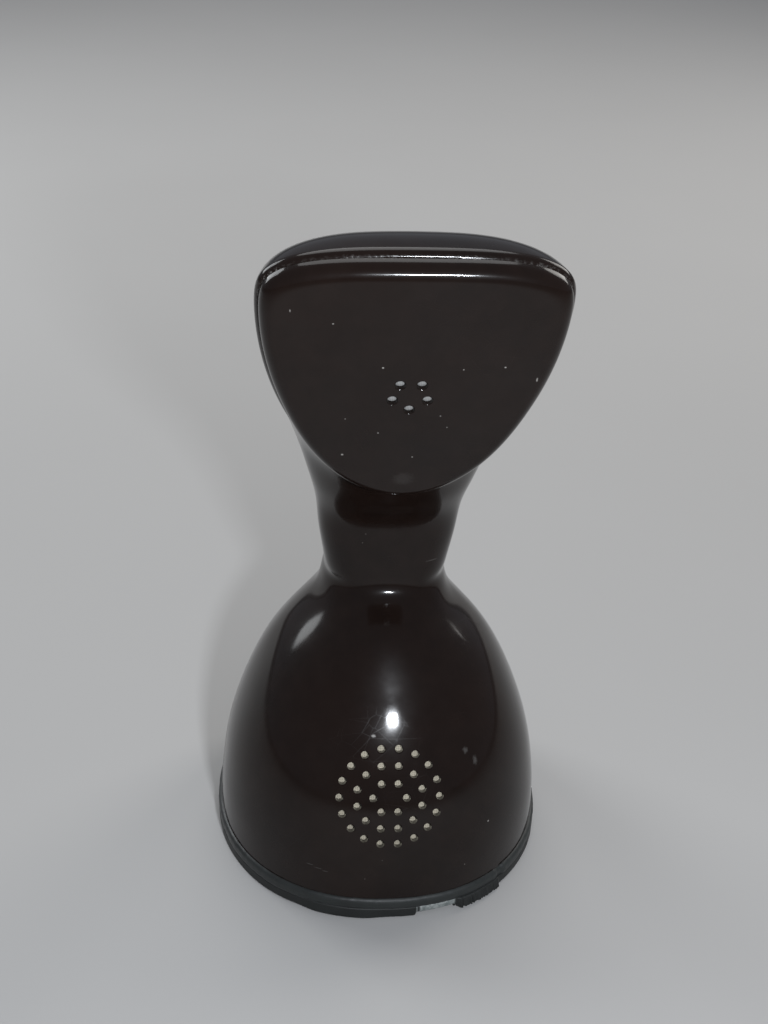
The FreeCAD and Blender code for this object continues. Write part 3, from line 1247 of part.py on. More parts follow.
strap = fuse("coil_strap_solid",
             box("coil_strap_top", "7", "Size.core_size + 2 * Size.clip_thick", "Size.clip_thick", strap_x,
                 f"{core_y} - Size.clip_thick", f"{board_top} + Size.core_height"),
             *[box(f"coil_strap_leg{k}", "7", "Size.clip_thick", "Size.core_height", strap_x, y, board_top)
               for k, y in enumerate((f"{core_y} - Size.clip_thick", f"{core_y} + Size.core_size"))],
             *[box(f"coil_strap_foot{k}", "7", "4", "Size.clip_thick", strap_x, y, board_top)
               for k, y in enumerate((f"{core_y} - 4", f"{core_y} + Size.core_size"))])
keep(strap, "coil_strap")

# Capacitor on its side, under a clip
can_z = f"({board_top} + Size.capacitor_r)"
can_y = "3"
can = cylinder("can", "Size.capacitor_r", "Size.capacitor_length", "Size.capacitor_x", can_y, can_z)
can.Placement = Placement(Vector(), Rotation(Vector(1, 0, 0), -90))
can_round = rounded("can_round", can, "0.8",
                    lambda edge: edge.BoundBox.ZLength > 2 and len(edge.Vertexes) == 1)
keep(can_round, "capacitor")
clip_y = f"({can_y} + (Size.capacitor_length - Size.clip_width) / 2)"
clip_out = "(Size.capacitor_r + Size.clip_thick)"
clip_ring = cylinder("clip_ring", clip_out, "Size.clip_width", "Size.capacitor_x", clip_y, can_z)
clip_hole = cylinder("clip_hole", "Size.capacitor_r", "Size.clip_width", "Size.capacitor_x", clip_y, can_z)
for obj in (clip_ring, clip_hole):
    obj.Placement = Placement(Vector(), Rotation(Vector(1, 0, 0), -90))
clip_trim = box("clip_trim", "40", "Size.clip_width", "20", "Size.capacitor_x - 20", clip_y, f"{can_z} - 20")
clip_low = box("clip_low", f"2 * {clip_out}", "Size.clip_width", "Size.capacitor_r",
               f"Size.capacitor_x - {clip_out}", clip_y, board_top)
clip_slot = box("clip_slot", "2 * Size.capacitor_r", "Size.clip_width", "Size.capacitor_r",
                "Size.capacitor_x - Size.capacitor_r", clip_y, board_top)
clip_solid = fuse("clip_arch_solid", cut("clip_half", clip_ring, clip_trim), clip_low)
clip_arch = cut("clip_arch", clip_solid, fuse("clip_void", clip_hole, clip_slot))
clip_sides = (f"Size.capacitor_x - {clip_out} - 3.6", f"Size.capacitor_x + {clip_out} - 0.4")
clip_feet = [box(f"clip_foot{k}", "4", "Size.clip_width", "Size.clip_thick", x, clip_y, board_top)
             for k, x in enumerate(clip_sides)]
keep(fuse("clip", clip_arch, *clip_feet), "capacitor_clip")

# Terminals
terminal_x = "-Size.terminal_width / 2"
terminal_y = "(Size.board_front + 0.5)"
terminal_top = f"({board_top} + Size.terminal_height)"
terminal_body = box("terminal_body", "Size.terminal_width", "Size.terminal_depth", "Size.terminal_height",
                    terminal_x, terminal_y, board_top)
terminal_step = "Size.terminal_width / Size.terminal_count"
terminals = range(int(size("terminal_count")))
terminal_places = [f"{terminal_x} + ({k} + 0.5) * {terminal_step}" for k in terminals]
terminal_holes = [cylinder(f"terminal_hole{k}", "1.05", "4", x, f"{terminal_y} + 2.2", f"{terminal_top} - 4")
                  for k, x in enumerate(terminal_places)]
keep(cut("terminal", terminal_body, *terminal_holes), "terminal_block")
terminal_screws = [screw_down(f"terminal_screw{k}", "1", "3.5", "1.7", "1", x, f"{terminal_y} + 2.2",
                              terminal_top) for k, x in enumerate(terminal_places)]
keep(group("terminal_screw_set", *terminal_screws), "terminal_screws")


# Leads, clipped between the capsules and the terminals
def lead(name, points, radius):
    """A round lead along straight runs joined by tangent arcs."""
    points = [Vector(*point) for point in points]
    edges = []
    here = points[0]
    for before, point, after in zip(points, points[1:], points[2:]):
        run_in, run_out = point - before, after - point
        reach = 0.45 * min(run_in.Length, run_out.Length)
        start = point - run_in.normalize() * reach
        end = point + run_out.normalize() * reach
        half_turn = run_in.getAngle(run_out) / 2
        bend = reach / math.tan(half_turn)
        inward = (run_out - run_in).normalize()
        middle = point + inward * (bend / math.cos(half_turn) - bend)
        edges += [Part.LineSegment(here, start), Part.Arc(start, middle, end)]
        here = end
    edges.append(Part.LineSegment(here, points[-1]))
    path = Part.Wire([edge.toShape() for edge in edges])
    circle = Part.Wire(Part.makeCircle(radius, points[0], points[1] - points[0]))
    shape = path.makePipeShell([circle], True, False)
    expected = math.pi * radius ** 2 * path.Length
    print(name, "volume over section times length", round(shape.Volume / expected, 3))
    return keep(made(name + "_shape", shape), name)


lead_r = size("lead_r")
terminal_at = [(value(x), value(terminal_y) + size("terminal_depth") - 1.4, value(terminal_top))
               for x in terminal_places]
receiver_exit = head_place(10, -value(receiver_back)).Base
head_in = Vector(0, math.cos(lean), math.sin(lean))
first_bend = receiver_exit + head_in * 12
end_x, end_y, end_z = terminal_at[4]
neck_middle = (size("neck_front_y") + size("neck_rear_y")) / 2
crease = size("crease_z")
lead("receiver_lead", [
    (6, receiver_exit.y, receiver_exit.z),
    (6, first_bend.y, first_bend.z),
    (5, neck_middle - 16, seam_top[1] - 32),
    (4, neck_middle - 8, seam_top[1] - 53),
    (3, neck_middle - 3, seam_tip[1] + 4),
    (3, neck_middle, seam_tip[1] - 20),
    (4, neck_middle - 1, crease + 4.5),
    (7, neck_middle - 7, crease - 14.5),
    (end_x, end_y, end_z + 12),
    (end_x, end_y, end_z),
], lead_r)
mic_exit = dome_place(value(mic_depth_text) + size("mic_nose_depth")).multVec(Vector(0, 5, 0))
mic_in = dome_place(0).Rotation.multVec(Vector(0, 0, -1))
mic_bend = mic_exit + mic_in * 8
end_x, end_y, end_z = terminal_at[0]
lead("transmitter_lead", [
    (0, mic_exit.y, mic_exit.z),
    (0, mic_bend.y, mic_bend.z),
    (-4, -16, 41),
    (-8, -12.5, 51),
    (end_x, -9.5, end_z + 6),
    (end_x, end_y, end_z + 9),
    (end_x, end_y, end_z),
], lead_r)

doc.recompute()
broken = [obj.Label for obj in doc.Objects if "Invalid" in obj.State or "Error" in obj.State]
broken += [obj.Label for obj in parts
           if obj.Shape.isNull() or not obj.Shape.isValid() or not obj.Shape.Solids]
if broken:
    raise RuntimeError("failed: " + ", ".join(broken))
os.makedirs("parts", exist_ok=True)
for obj in parts:
    obj.Shape.exportStep(f"parts/{obj.Label}.step")
print(len(parts), "parts")
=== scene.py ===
"""Looks of a one-piece upright telephone: very dark brown glossy plastic on a worn rubber foot.

Shapes are worked out in millimetres in the frame of the CAD model and made in metres. X runs to the right of
the photograph, Y to the rear and Z up.
"""
import json
import math

import bmesh
import bpy
import numpy as np
from mathutils import Matrix, Vector
from mathutils.bvhtree import BVHTree
from mathutils.interpolate import poly_3d_calc


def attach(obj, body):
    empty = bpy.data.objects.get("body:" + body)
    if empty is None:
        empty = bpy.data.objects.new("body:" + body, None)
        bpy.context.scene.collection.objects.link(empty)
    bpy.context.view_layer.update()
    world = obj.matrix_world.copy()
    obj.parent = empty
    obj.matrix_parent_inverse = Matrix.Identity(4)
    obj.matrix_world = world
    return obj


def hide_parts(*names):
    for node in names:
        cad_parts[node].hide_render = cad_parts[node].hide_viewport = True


MM = 0.001

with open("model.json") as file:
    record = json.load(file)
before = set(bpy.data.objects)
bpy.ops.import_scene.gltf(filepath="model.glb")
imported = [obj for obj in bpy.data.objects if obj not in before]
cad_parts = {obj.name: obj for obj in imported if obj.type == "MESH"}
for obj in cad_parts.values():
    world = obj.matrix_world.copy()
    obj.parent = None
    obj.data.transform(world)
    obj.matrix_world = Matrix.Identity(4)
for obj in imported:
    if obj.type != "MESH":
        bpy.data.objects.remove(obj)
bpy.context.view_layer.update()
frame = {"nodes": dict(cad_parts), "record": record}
nodes = frame["nodes"]

# Sizes of the CAD model, in millimetres
FOOT_HALF_WIDTH = 54.3
FOOT_HALF_DEPTH = 55.5
SHELL_STEP = 1.2
BEAD_SEAT = 1.0
WALL = 3.0
SHOULDER_Z = 50.0
CREASE_Z = 93.5
NECK_HALF_WIDTH = 19.5
NECK_FRONT = -6.3
NECK_REAR = 36.0
SEAM_TOP = np.array([-50.9, 222.7])
FACE_LENGTH = 84.5
LEAN = math.radians(16.8)
HEAD_HALF_WIDTH = 40.8
HEAD_CROWN = 5.0
EAR_DROP = 42.9
EAR_RING_R = 4.86
EAR_HOLE_R = 1.4
EAR_HOLES = 5
PLATE_THICK = 5.4
PLATE_ROUND = 4.2
PLATE_WALL = 3.0
PLATE_CROWN = 0.3
MIC_Y = -49.7
MIC_Z = 45.1
MIC_RISE = math.radians(26)
MIC_PITCH = 5.17
MIC_HOLE_R = 1.2
SKIRT_TOP = 4.2
SKIRT_WIDTH = 6.6
BEAD_TOP = 7.8
INLET_Y = 52.8
INLET_Z = 14.0
INLET_R = 6.3
INLET_BORE_R = 4.4
INLET_DEPTH = 10
INLET_OUT = 8
NUMBER_RING_Z = 6.26
AROUND = 40

# How full the corners of an outline are: 2 is an ellipse, and more is squarer
FOOT_FRONT_POWER = 2.2
FOOT_REAR_POWER = 2.15
SHOULDER_REAR_POWER = 1.7
SHOULDER_FIRST_ROW = 6
MIDDLE = 0.5

# Share of the height, and the reach to front, rear and side as shares of the foot's
DOME_SHARES = [(0.04, 1.0, 1.0, 1.0), (0.28, 1.003, 0.999, 1.0), (0.52, 0.985, 0.976, 0.981),
               (0.76, 0.941, 0.936, 0.935), (1.0, 0.853, 0.887, 0.856)]
SHOULDER_SHARES = [(0.27, 0.712, 0.839, 0.75), (0.53, 0.538, 0.782, 0.613), (0.76, 0.385, 0.727, 0.401)]

COUNT = 240
BODY_RINGS = 106
HEAD_RINGS = 64
ROLL_RINGS = 13
INNER_RINGS = 60
PLATE_COUNT = 320
PLATE_ROUND_RINGS = 18
FACE_RINGS = 24
FOOT_COUNT = 960
MIC_HOLE_SIDES = 28
EAR_HOLE_SIDES = 36
INLET_SIDES = 64

# Degrees of turn from which an edge is drawn sharp
SHARP = 28
FOOT_SHARP = 50


# Smooth surface through rows of poles
def cross_section(front, rear, half_width, widest, front_power, rear_power):
    """Poles round one row. front and rear are (y, z), and widest is the share of the depth in front."""
    front, rear = np.array(front, float), np.array(rear, float)
    depth = np.linalg.norm(rear - front)
    along = (rear - front) / depth
    angle = 2 * np.pi * np.arange(AROUND) / AROUND
    c, s = np.cos(angle), np.sin(angle)
    power = np.where(s >= 0, rear_power, front_power)
    reach = depth * np.where(s >= 0, 1 - widest, widest)
    x = half_width * np.copysign(np.abs(c) ** (2 / power), c)
    v = depth * widest + reach * np.copysign(np.abs(s) ** (2 / power), s)
    return np.stack([x, front[0] + along[0] * v, front[1] + along[1] * v], axis=1)


def around_weights(count):
    """Weights of a closed cubic curve at evenly spread places."""
    weights = np.zeros((count, AROUND))
    for k in range(count):
        place = AROUND * k / count
        span = int(place)
        t = place - span
        parts = ((1 - t) ** 3, 3 * t ** 3 - 6 * t ** 2 + 4,
                 -3 * t ** 3 + 3 * t ** 2 + 3 * t + 1, t ** 3)
        for j, part in enumerate(parts):
            weights[k, (span + j - 1) % AROUND] += part / 6
    return weights


def along_weights(places, rows):
    """Weights of a cubic curve that starts at its first pole and ends at its last."""
    last = rows - 3
    knots = np.concatenate([[0.0] * 3, np.arange(last + 1.0), [float(last)] * 3])
    places = np.clip(np.asarray(places, float), 0, last - 1e-9)
    basis = ((places[:, None] >= knots[:-1]) & (places[:, None] < knots[1:])).astype(float)
    for degree in (1, 2, 3):
        width = knots[degree:] - knots[:-degree]
        share = np.divide(1.0, width, out=np.zeros_like(width), where=width > 0)
        left = (places[:, None] - knots[:-degree]) * share
        right = (knots[degree:] - places[:, None]) * share
        basis = left[:, :-1] * basis[:, :-1] + right[:, 1:] * basis[:, 1:]
    return basis


def dome_rows():
    """Level, front, rear and half width of each row from the foot up to the neck."""
    width = FOOT_HALF_WIDTH - SHELL_STEP
    depth = FOOT_HALF_DEPTH - SHELL_STEP
    rise = CREASE_Z - SHOULDER_Z
    levels = [(SHOULDER_Z * h, f, r, w) for h, f, r, w in DOME_SHARES]
    levels += [(SHOULDER_Z + rise * h, f, r, w) for h, f, r, w in SHOULDER_SHARES]
    rows = [(z, -depth * f, depth * r, width * w) for z, f, r, w in levels]
    rows.append((CREASE_Z - 3.4, NECK_FRONT - 3.2, NECK_REAR + 2.7, NECK_HALF_WIDTH + 0.4))
    return rows


def head_rows():
    """Front and rear point, half width, share before the widest place, and powers, from the crease up."""
    neck_f, neck_r, neck_w, cr = NECK_FRONT, NECK_REAR, NECK_HALF_WIDTH, CREASE_Z
    ty, tz = SEAM_TOP + FACE_LENGTH * np.array([math.sin(LEAN), -math.cos(LEAN)])
    top_y, top_z = SEAM_TOP
    crown = HEAD_CROWN
    spread = HEAD_HALF_WIDTH - neck_w
    return [
        ((neck_f - 0.6, cr), (neck_r + 1.9, cr), neck_w - 0.6, 0.42, 2.4, 2.25),
        ((neck_f, cr + 2.6), (neck_r + 1.3, cr + 2.6), neck_w, 0.37, 2.7, 2.3),
        ((neck_f, cr + 8), (neck_r + 0.1, cr + 8), neck_w + 0.6, 0.35, 2.8, 2.3),
        ((neck_f - 0.4, cr + 17), (neck_r - 1.7, cr + 18), neck_w + 0.11 * spread, 0.35, 2.8, 2.3),
        ((neck_f - 1.6, tz - 22), (neck_r - 3.8, tz - 16), neck_w + 0.135 * spread, 0.35, 2.8, 2.3),
        ((ty + 11.4, tz - 12.5), (neck_r - 8, top_z - 79), neck_w + 0.265 * spread, 0.37, 2.6, 2.3),
        ((ty + 7.8, tz - 6), (neck_r - 15, top_z - 57), neck_w + 0.42 * spread, 0.43, 2.4, 2.3),
        ((ty + 4.6, tz - 2.2), (neck_r - 27, top_z - 35 + 0.4 * crown),
         neck_w + 0.62 * spread, 0.52, 2.2, 2.35),
        ((ty + 2.3, tz - 0.7), (top_y + 38, top_z - 16.5 + 0.8 * crown),
         neck_w + 0.82 * spread, 0.63, 2.05, 2.5),
        ((ty + 0.8, tz - 0.2), (top_y + 18, top_z - 3.2 + crown), neck_w + 0.97 * spread, 0.74, 1.93, 2.99),
        ((ty, tz), (top_y, top_z), HEAD_HALF_WIDTH, 0.8, 1.88, 3.3),
    ]


def shell_rows(inset):
    """Rows of poles of the shell's outside, drawn in by inset."""
    out = []
    for k, (z, front, rear, half) in enumerate(dome_rows()):
        rear_power = SHOULDER_REAR_POWER if k >= SHOULDER_FIRST_ROW else FOOT_REAR_POWER
        out.append(cross_section((front + inset, z), (rear - inset, z), half - inset,
                                 MIDDLE, FOOT_FRONT_POWER, rear_power))
    for front, rear, half, widest, front_power, rear_power in head_rows():
        front, rear = np.array(front, float), np.array(rear, float)
        step = (rear - front) / np.linalg.norm(rear - front) * inset
        out.append(cross_section(front + step, rear - step, half - inset, widest, front_power, rear_power))
    return np.array(out)


def foot_outline(inset, count):
    """Plan outline of the foot, as x and y."""
    depth = FOOT_HALF_DEPTH - inset
    poles = cross_section((-depth, 0), (depth, 0), FOOT_HALF_WIDTH - inset,
                          MIDDLE, FOOT_FRONT_POWER, FOOT_REAR_POWER)
    return (around_weights(count) @ poles)[:, :2]


def at_level(ring, z):
    return np.column_stack([ring, np.full(len(ring), z)])


def circle(radius, height, count):
    angle = 2 * np.pi * np.arange(count) / count
    return np.stack([radius * np.cos(angle), radius * np.sin(angle), np.full(count, height)], axis=1)


def on_circle(radius, angle):
    return radius * math.cos(angle), radius * math.sin(angle)


# Meshes
def linked(name, data):
    made = bpy.data.objects.new(name, data)
    bpy.context.scene.collection.objects.link(made)
    return made


def smooth(mesh, sharp):
    """Smooth shading, but for edges that turn by more than sharp degrees."""
    mesh.polygons.foreach_set("use_smooth", [True] * len(mesh.polygons))
    mesh.set_sharp_from_angle(angle=math.radians(sharp))


def mesh_object(name, verts, faces, sharp=SHARP):
    mesh = bpy.data.meshes.new(name)
    mesh.from_pydata([tuple(v * MM for v in p) for p in verts], [], faces)
    facing = bmesh.new()
    facing.from_mesh(mesh)
    bmesh.ops.recalc_face_normals(facing, faces=facing.faces)
    facing.to_mesh(mesh)
    facing.free()
    smooth(mesh, sharp)
    return linked(name, mesh)


def ring_object(name, rings, loop=False, sharp=SHARP):
    """A surface over closed rings of points. A ring of one point closes an end."""
    starts = np.cumsum([0] + [len(ring) for ring in rings])
    verts = np.concatenate(rings)
    faces = []
    pairs = [(k, k + 1) for k in range(len(rings) - 1)]
    if loop:
        pairs.append((len(rings) - 1, 0))
    for a, b in pairs:
        count_a, count_b = len(rings[a]), len(rings[b])
        sa, sb = int(starts[a]), int(starts[b])
        for k in range(max(count_a, count_b)):
            j = (k + 1) % max(count_a, count_b)
            if count_b == 1:
                faces.append((sa + k, sa + j, sb))
            elif count_a == 1:
                faces.append((sa, sb + j, sb + k))
            else:
                faces.append((sa + k, sa + j, sb + j, sb + k))
    return mesh_object(name, verts, faces, sharp)


def turned(name, profile, place, count=32):
    """A closed body turned round its own Z axis from (radius, height) pairs, then put in place."""
    rings = [circle(radius, height, count if radius else 1) for radius, height in profile]
    placed = [np.array([place @ Vector(p) for p in ring]) for ring in rings]
    return ring_object(name, placed)


def drill(radius, bottom, lip, top):
    """Profile of a hole's cutter. Its lip opens by pairs of extra radius and height."""
    wide = radius + lip[-1][0]
    return ([(0, bottom), (radius, bottom)] + [(radius + extra, height) for extra, height in lip]
            + [(wide, top), (0, top)])


def joined(name, parts):
    """One object from several, which are removed."""
    whole = bmesh.new()
    for part in parts:
        whole.from_mesh(part.data)
        bpy.data.objects.remove(part)
    mesh = bpy.data.meshes.new(name)
    whole.to_mesh(mesh)
    whole.free()
    return linked(name, mesh)


def tree_of(mesh):
    return BVHTree.FromPolygons([v.co for v in mesh.vertices], [tuple(p.vertices) for p in mesh.polygons])


# What counts as a face that the cut has left as it was: its distance in metres and how it faces,
# looked up a share of the way from each corner to the face's middle
KEPT_GAP = 0.012 * MM
KEPT_FACING = 0.94
PROBE_SHARE = 0.03


def cut_with(target, cutter, sharp=SHARP):
    """Cuts the cutter out of the target. Its smooth faces keep the shading that they had."""
    before = target.data
    tree = tree_of(before)
    corner_before = [n.vector.copy() for n in before.corner_normals]
    change = target.modifiers.new("cut", "BOOLEAN")
    change.operation = "DIFFERENCE"
    change.solver = "MANIFOLD"
    change.object = cutter
    graph = bpy.context.evaluated_depsgraph_get()
    after = bpy.data.meshes.new_from_object(target.evaluated_get(graph))
    target.modifiers.clear()
    target.data = after
    bpy.data.objects.remove(cutter)
    smooth(after, sharp)
    normals = [n.vector.copy() for n in after.corner_normals]
    points = [v.co for v in after.vertices]
    for face in after.polygons:
        for loop in face.loop_indices:
            at = points[after.loops[loop].vertex_index]
            probe = at.lerp(face.center, PROBE_SHARE)
            where, facing, index, gap = tree.find_nearest(probe)
            if gap > KEPT_GAP or facing.dot(face.normal) < KEPT_FACING:
                continue
            old = before.polygons[index]
            corners = [before.vertices[v].co for v in old.vertices]
            shares = poly_3d_calc(corners, where)
            mixed = Vector()
            for share, old_loop in zip(shares, old.loop_indices):
                mixed += corner_before[old_loop] * share
            if mixed.length > 0.5:
                normals[loop] = mixed.normalized()
    after.normals_split_custom_set(normals)


# Main shell: its outside with a rim that rolls in to the seam, its hollow, and the ledge for the bead
around = around_weights(COUNT)
outer_rows = shell_rows(0)
inner_rows = shell_rows(WALL)
OUTER = np.einsum("ka,ras->rks", around, outer_rows)
INNER = np.einsum("ka,ras->rks", around, inner_rows)
LAST = len(outer_rows) - 3.0
HEAD_PLACE = LAST - 5
DOME_END_PLACE = 4.0
LEVEL_HALVINGS = 40
RIM_HALVINGS = 30
SEAM_CHAMFER = 0.3
ROLL_REACH = 3.2
ROLL_DROP = 1.5
CHIN_SHARE = 0.12
CHIN_HEIGHT = 0.45


def eased(share):
    """A share from 0 to 1 that starts and ends gently."""
    return share * share * (3 - 2 * share)


def surface(columns, place):
    """Points of all columns at one place, or at a place of their own."""
    place = np.broadcast_to(np.asarray(place, float), (columns.shape[1],))
    return np.einsum("kr,rks->ks", along_weights(place, columns.shape[0]), columns)


def place_of_level(columns, z):
    """Place at which the columns pass a level of the dome, by halving."""
    low, high = 0.0, DOME_END_PLACE
    for _ in range(LEVEL_HALVINGS):
        middle = (low + high) / 2
        if surface(columns, middle)[0, 2] < z:
            low = middle
        else:
            high = middle
    return low


def place_near_end(columns, back):
    """Places at which each column is a short way back from its end, by halving."""
    end = surface(columns, LAST)
    low, high = np.full(COUNT, HEAD_PLACE), np.full(COUNT, LAST)
    for _ in range(RIM_HALVINGS):
        middle = (low + high) / 2
        far = np.linalg.norm(surface(columns, middle) - end, axis=1) > back
        low, high = np.where(far, middle, low), np.where(far, high, middle)
    return low


def roll_drop(ring):
    """How far the seam is drawn in at each point of a ring on it, which is least at the chin."""
    height = (ring[:, 2] - ring[:, 2].min()) / np.ptp(ring[:, 2])
    share = np.clip(height / CHIN_HEIGHT, 0, 1)
    return ROLL_DROP * (CHIN_SHARE + (1 - CHIN_SHARE) * eased(share))


def shell_body():
    """The closed shell, still without its holes."""
    start = place_of_level(OUTER, BEAD_TOP)
    rings = [surface(OUTER, place) for place in np.linspace(start, HEAD_PLACE, BODY_RINGS)]
    end_ring = surface(OUTER, LAST)
    inward = surface(INNER, LAST) - end_ring
    inward /= np.linalg.norm(inward, axis=1)[:, None]
    drop = roll_drop(end_ring)
    roll_angle = 2 * np.arctan(drop / ROLL_REACH)
    roll_radius = ROLL_REACH / np.sin(roll_angle)
    roll_start = place_near_end(OUTER, ROLL_REACH)
    for share in np.linspace(0, 1, HEAD_RINGS)[1:]:
        rings.append(surface(OUTER, HEAD_PLACE * (1 - share) + roll_start * share))
    for back in np.linspace(ROLL_REACH, SEAM_CHAMFER, ROLL_RINGS)[1:]:
        sink = roll_radius - np.sqrt(roll_radius ** 2 - (ROLL_REACH - back) ** 2)
        rings.append(surface(OUTER, place_near_end(OUTER, back)) + inward * sink[:, None])
    rings.append(end_ring + inward * (drop + SEAM_CHAMFER)[:, None])
    inner_start = place_of_level(INNER, SKIRT_TOP)
    rings += [surface(INNER, place) for place in np.linspace(LAST, inner_start, INNER_RINGS)]
    seat = foot_outline(SHELL_STEP + BEAD_SEAT, COUNT)
    rings += [at_level(seat, SKIRT_TOP), at_level(seat, BEAD_TOP)]
    return ring_object("shell_body", rings, loop=True)


# The mouth holes follow the dome: each one's lip lies where a ray along its axis meets the shell.
# Each ring has six holes times its number, and may be turned by a share of a hole's step
MIC_RINGS = ((1, 0), (2, 0.5), (3, 0))
MIC_LIP = ((0, -0.2), (0.08, -0.08), (0.26, 0.06))
MIC_DEPTH = 9
MIC_REACH = 12
CUT_CLEAR = 3


def mouth_cutters(body):
    """Cutters of the 36 holes in front of the transmitter."""
    place = Matrix.Translation((0, MIC_Y, MIC_Z)) @ Matrix.Rotation(math.pi / 2 - MIC_RISE, 4, "X")
    outward = place.to_3x3() @ Vector((0, 0, 1))
    tree = tree_of(body.data)
    cutters = []
    for ring, shift in MIC_RINGS:
        for k in range(6 * ring):
            x, y = on_circle(ring * MIC_PITCH, 2 * math.pi * (k + shift) / (6 * ring))
            origin = place @ Vector((x, y, MIC_REACH))
            hit = tree.ray_cast(origin * MM, -outward)[0]
            level = MIC_REACH - (hit / MM - origin).length
            lip = [(extra, level + height) for extra, height in MIC_LIP]
            cutters.append(turned("cutter", drill(MIC_HOLE_R, level - MIC_DEPTH, lip, level + CUT_CLEAR),
                                  place @ Matrix.Translation((x, y, 0)), MIC_HOLE_SIDES))
    return cutters


def inlet_cutter():
    """The bore and the seat of the cord inlet's grommet at the rear."""
    place = Matrix.Translation((0, INLET_Y, INLET_Z)) @ Matrix.Rotation(-math.pi / 2, 4, "X")
    profile = [(0, -INLET_DEPTH), (INLET_BORE_R, -INLET_DEPTH), (INLET_BORE_R, 0),
               (INLET_R, 0), (INLET_R, INLET_OUT), (0, INLET_OUT)]
    return turned("cutter", profile, place, INLET_SIDES)


shell = shell_body()
cut_with(shell, joined("cutters", mouth_cutters(shell) + [inlet_cutter()]))
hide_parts("main_shell")

# Ear plate: a dish on the seam, with its front edge rounded
out_way = np.array([0, -math.cos(LEAN), -math.sin(LEAN)])
ear_centre = np.array([0, SEAM_TOP[0] + math.sin(LEAN) * EAR_DROP, SEAM_TOP[1] - math.cos(LEAN) * EAR_DROP])
face_centre = ear_centre + out_way * PLATE_THICK
plate_around = around_weights(PLATE_COUNT)
plate_seam = plate_around @ outer_rows[-1]
plate_inward = plate_around @ inner_rows[-1] - plate_seam
plate_inward *= (roll_drop(plate_seam) / np.linalg.norm(plate_inward, axis=1))[:, None]
ear_place = Matrix.Translation(Vector(face_centre)) @ Matrix.Rotation(math.pi / 2 + LEAN, 4, "X")
EAR_LIP = ((0, 0.1), (0.07, 0.2), (0.26, 0.34))
EAR_DEPTH = 8
PAD_BACK = -1.4
PAD_FRONT = [(EAR_HOLE_R - 0.06, -1.0), (1.0, -0.82), (0.5, -0.74), (0, -0.72)]


def seam_ring(inset, out):
    return plate_around @ shell_rows(inset)[-1] + plate_inward + out_way * out


def ear_face():
    """The closed plate, still without its holes."""
    side = PLATE_THICK - PLATE_ROUND
    rings = [seam_ring(SEAM_CHAMFER, 0), seam_ring(0, SEAM_CHAMFER)]
    rings += [seam_ring(0, h) for h in np.linspace(0.5, side, 4)]
    for k in range(1, PLATE_ROUND_RINGS + 1):
        bend = math.pi / 2 * k / PLATE_ROUND_RINGS
        rings.append(seam_ring(PLATE_ROUND * (1 - math.cos(bend)),
                               PLATE_THICK - PLATE_ROUND * (1 - math.sin(bend))))
    brow = rings[-1]
    for share in np.linspace(1, 0, FACE_RINGS)[1:-1]:
        rings.append(face_centre + (brow - face_centre) * share
                     + out_way * PLATE_CROWN * (1 - share ** 2) ** 2)
    rings.append((face_centre + out_way * PLATE_CROWN)[None, :])
    inner_level = PLATE_THICK - PLATE_WALL
    back_rings = [seam_ring(WALL, 0), seam_ring(WALL, inner_level)]
    back_centre = ear_centre + out_way * inner_level
    back_rings += [back_centre + (back_rings[-1] - back_centre) * share for share in (0.7, 0.4, 0.15)]
    back_rings.append(back_centre[None, :])
    return ring_object("ear_face", back_rings[::-1] + rings)


def at_ear_holes(name, profile):
    """One turned body at each of the ear holes, joined."""
    bodies = []
    for k in range(EAR_HOLES):
        x, y = on_circle(EAR_RING_R, math.radians(360 / EAR_HOLES * k - 90))
        bodies.append(turned("at_hole", profile, ear_place @ Matrix.Translation((x, y, 0)), EAR_HOLE_SIDES))
    return joined(name, bodies)


plate = ear_face()
cut_with(plate, at_ear_holes("ear_cutters", drill(EAR_HOLE_R, -EAR_DEPTH, EAR_LIP, CUT_CLEAR)))
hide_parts("ear_plate")

# The photograph shows the gauze close behind the ear holes, so a pad of it stands in each
ear_pads = at_ear_holes("ear_hole_gauze",
                        [(0, PAD_BACK), (EAR_HOLE_R - 0.05, PAD_BACK)] + PAD_FRONT)


# Foot: grey bead and torn black skirt
def front_angle(ring):
    """Degrees from the front towards +X."""
    return np.degrees(np.arctan2(ring[:, 0], -ring[:, 1]))


def hump(angle, low, high, soft):
    """One between two angles, falling to zero over soft degrees outside them."""
    rise = np.clip((angle - low) / soft + 1, 0, 1)
    fall = np.clip((high - angle) / soft + 1, 0, 1)
    return eased(np.minimum(rise, fall))


def wobble(angle, waves, seed):
    """A gentle closed wander with several whole waves, between about -1 and 1."""
    draws = np.random.default_rng(seed)
    total = np.zeros_like(angle)
    for count in waves:
        total += np.sin(np.radians(angle) * count + draws.uniform(0, 6.28)) / len(waves) ** 0.5
    return total


def ragged(angle):
    """Fine uneven edge of the torn rubber."""
    return 0.5 * wobble(angle, (97, 143, 211), 6) + 0.5 * wobble(angle, (331, 401), 7)


# Where the foot is worn: from and to, in degrees from the front, and how softly that ends
KINK = (41.5, 42.5, 2.0)
BULGE = (-22, -8, 9)
TEAR = (10.6, 23.2, 0.9)
TEAR_BARE = (11.0, 22.8, 0.5)
FLAP = (25.4, 41.0, 1.2)

# Levels of the torn place, and how far in it lies there
TEAR_LEVELS = [0, 0.9, 1.25, 1.7, 2.3, 3.6, 4.2]
TEAR_DEPTHS = [3.3, 3.1, 1.3, 0.45, 0.15, 0.15, 0.4]
BARE_FROM_Z = 1.1
KINK_FROM_Z = 6

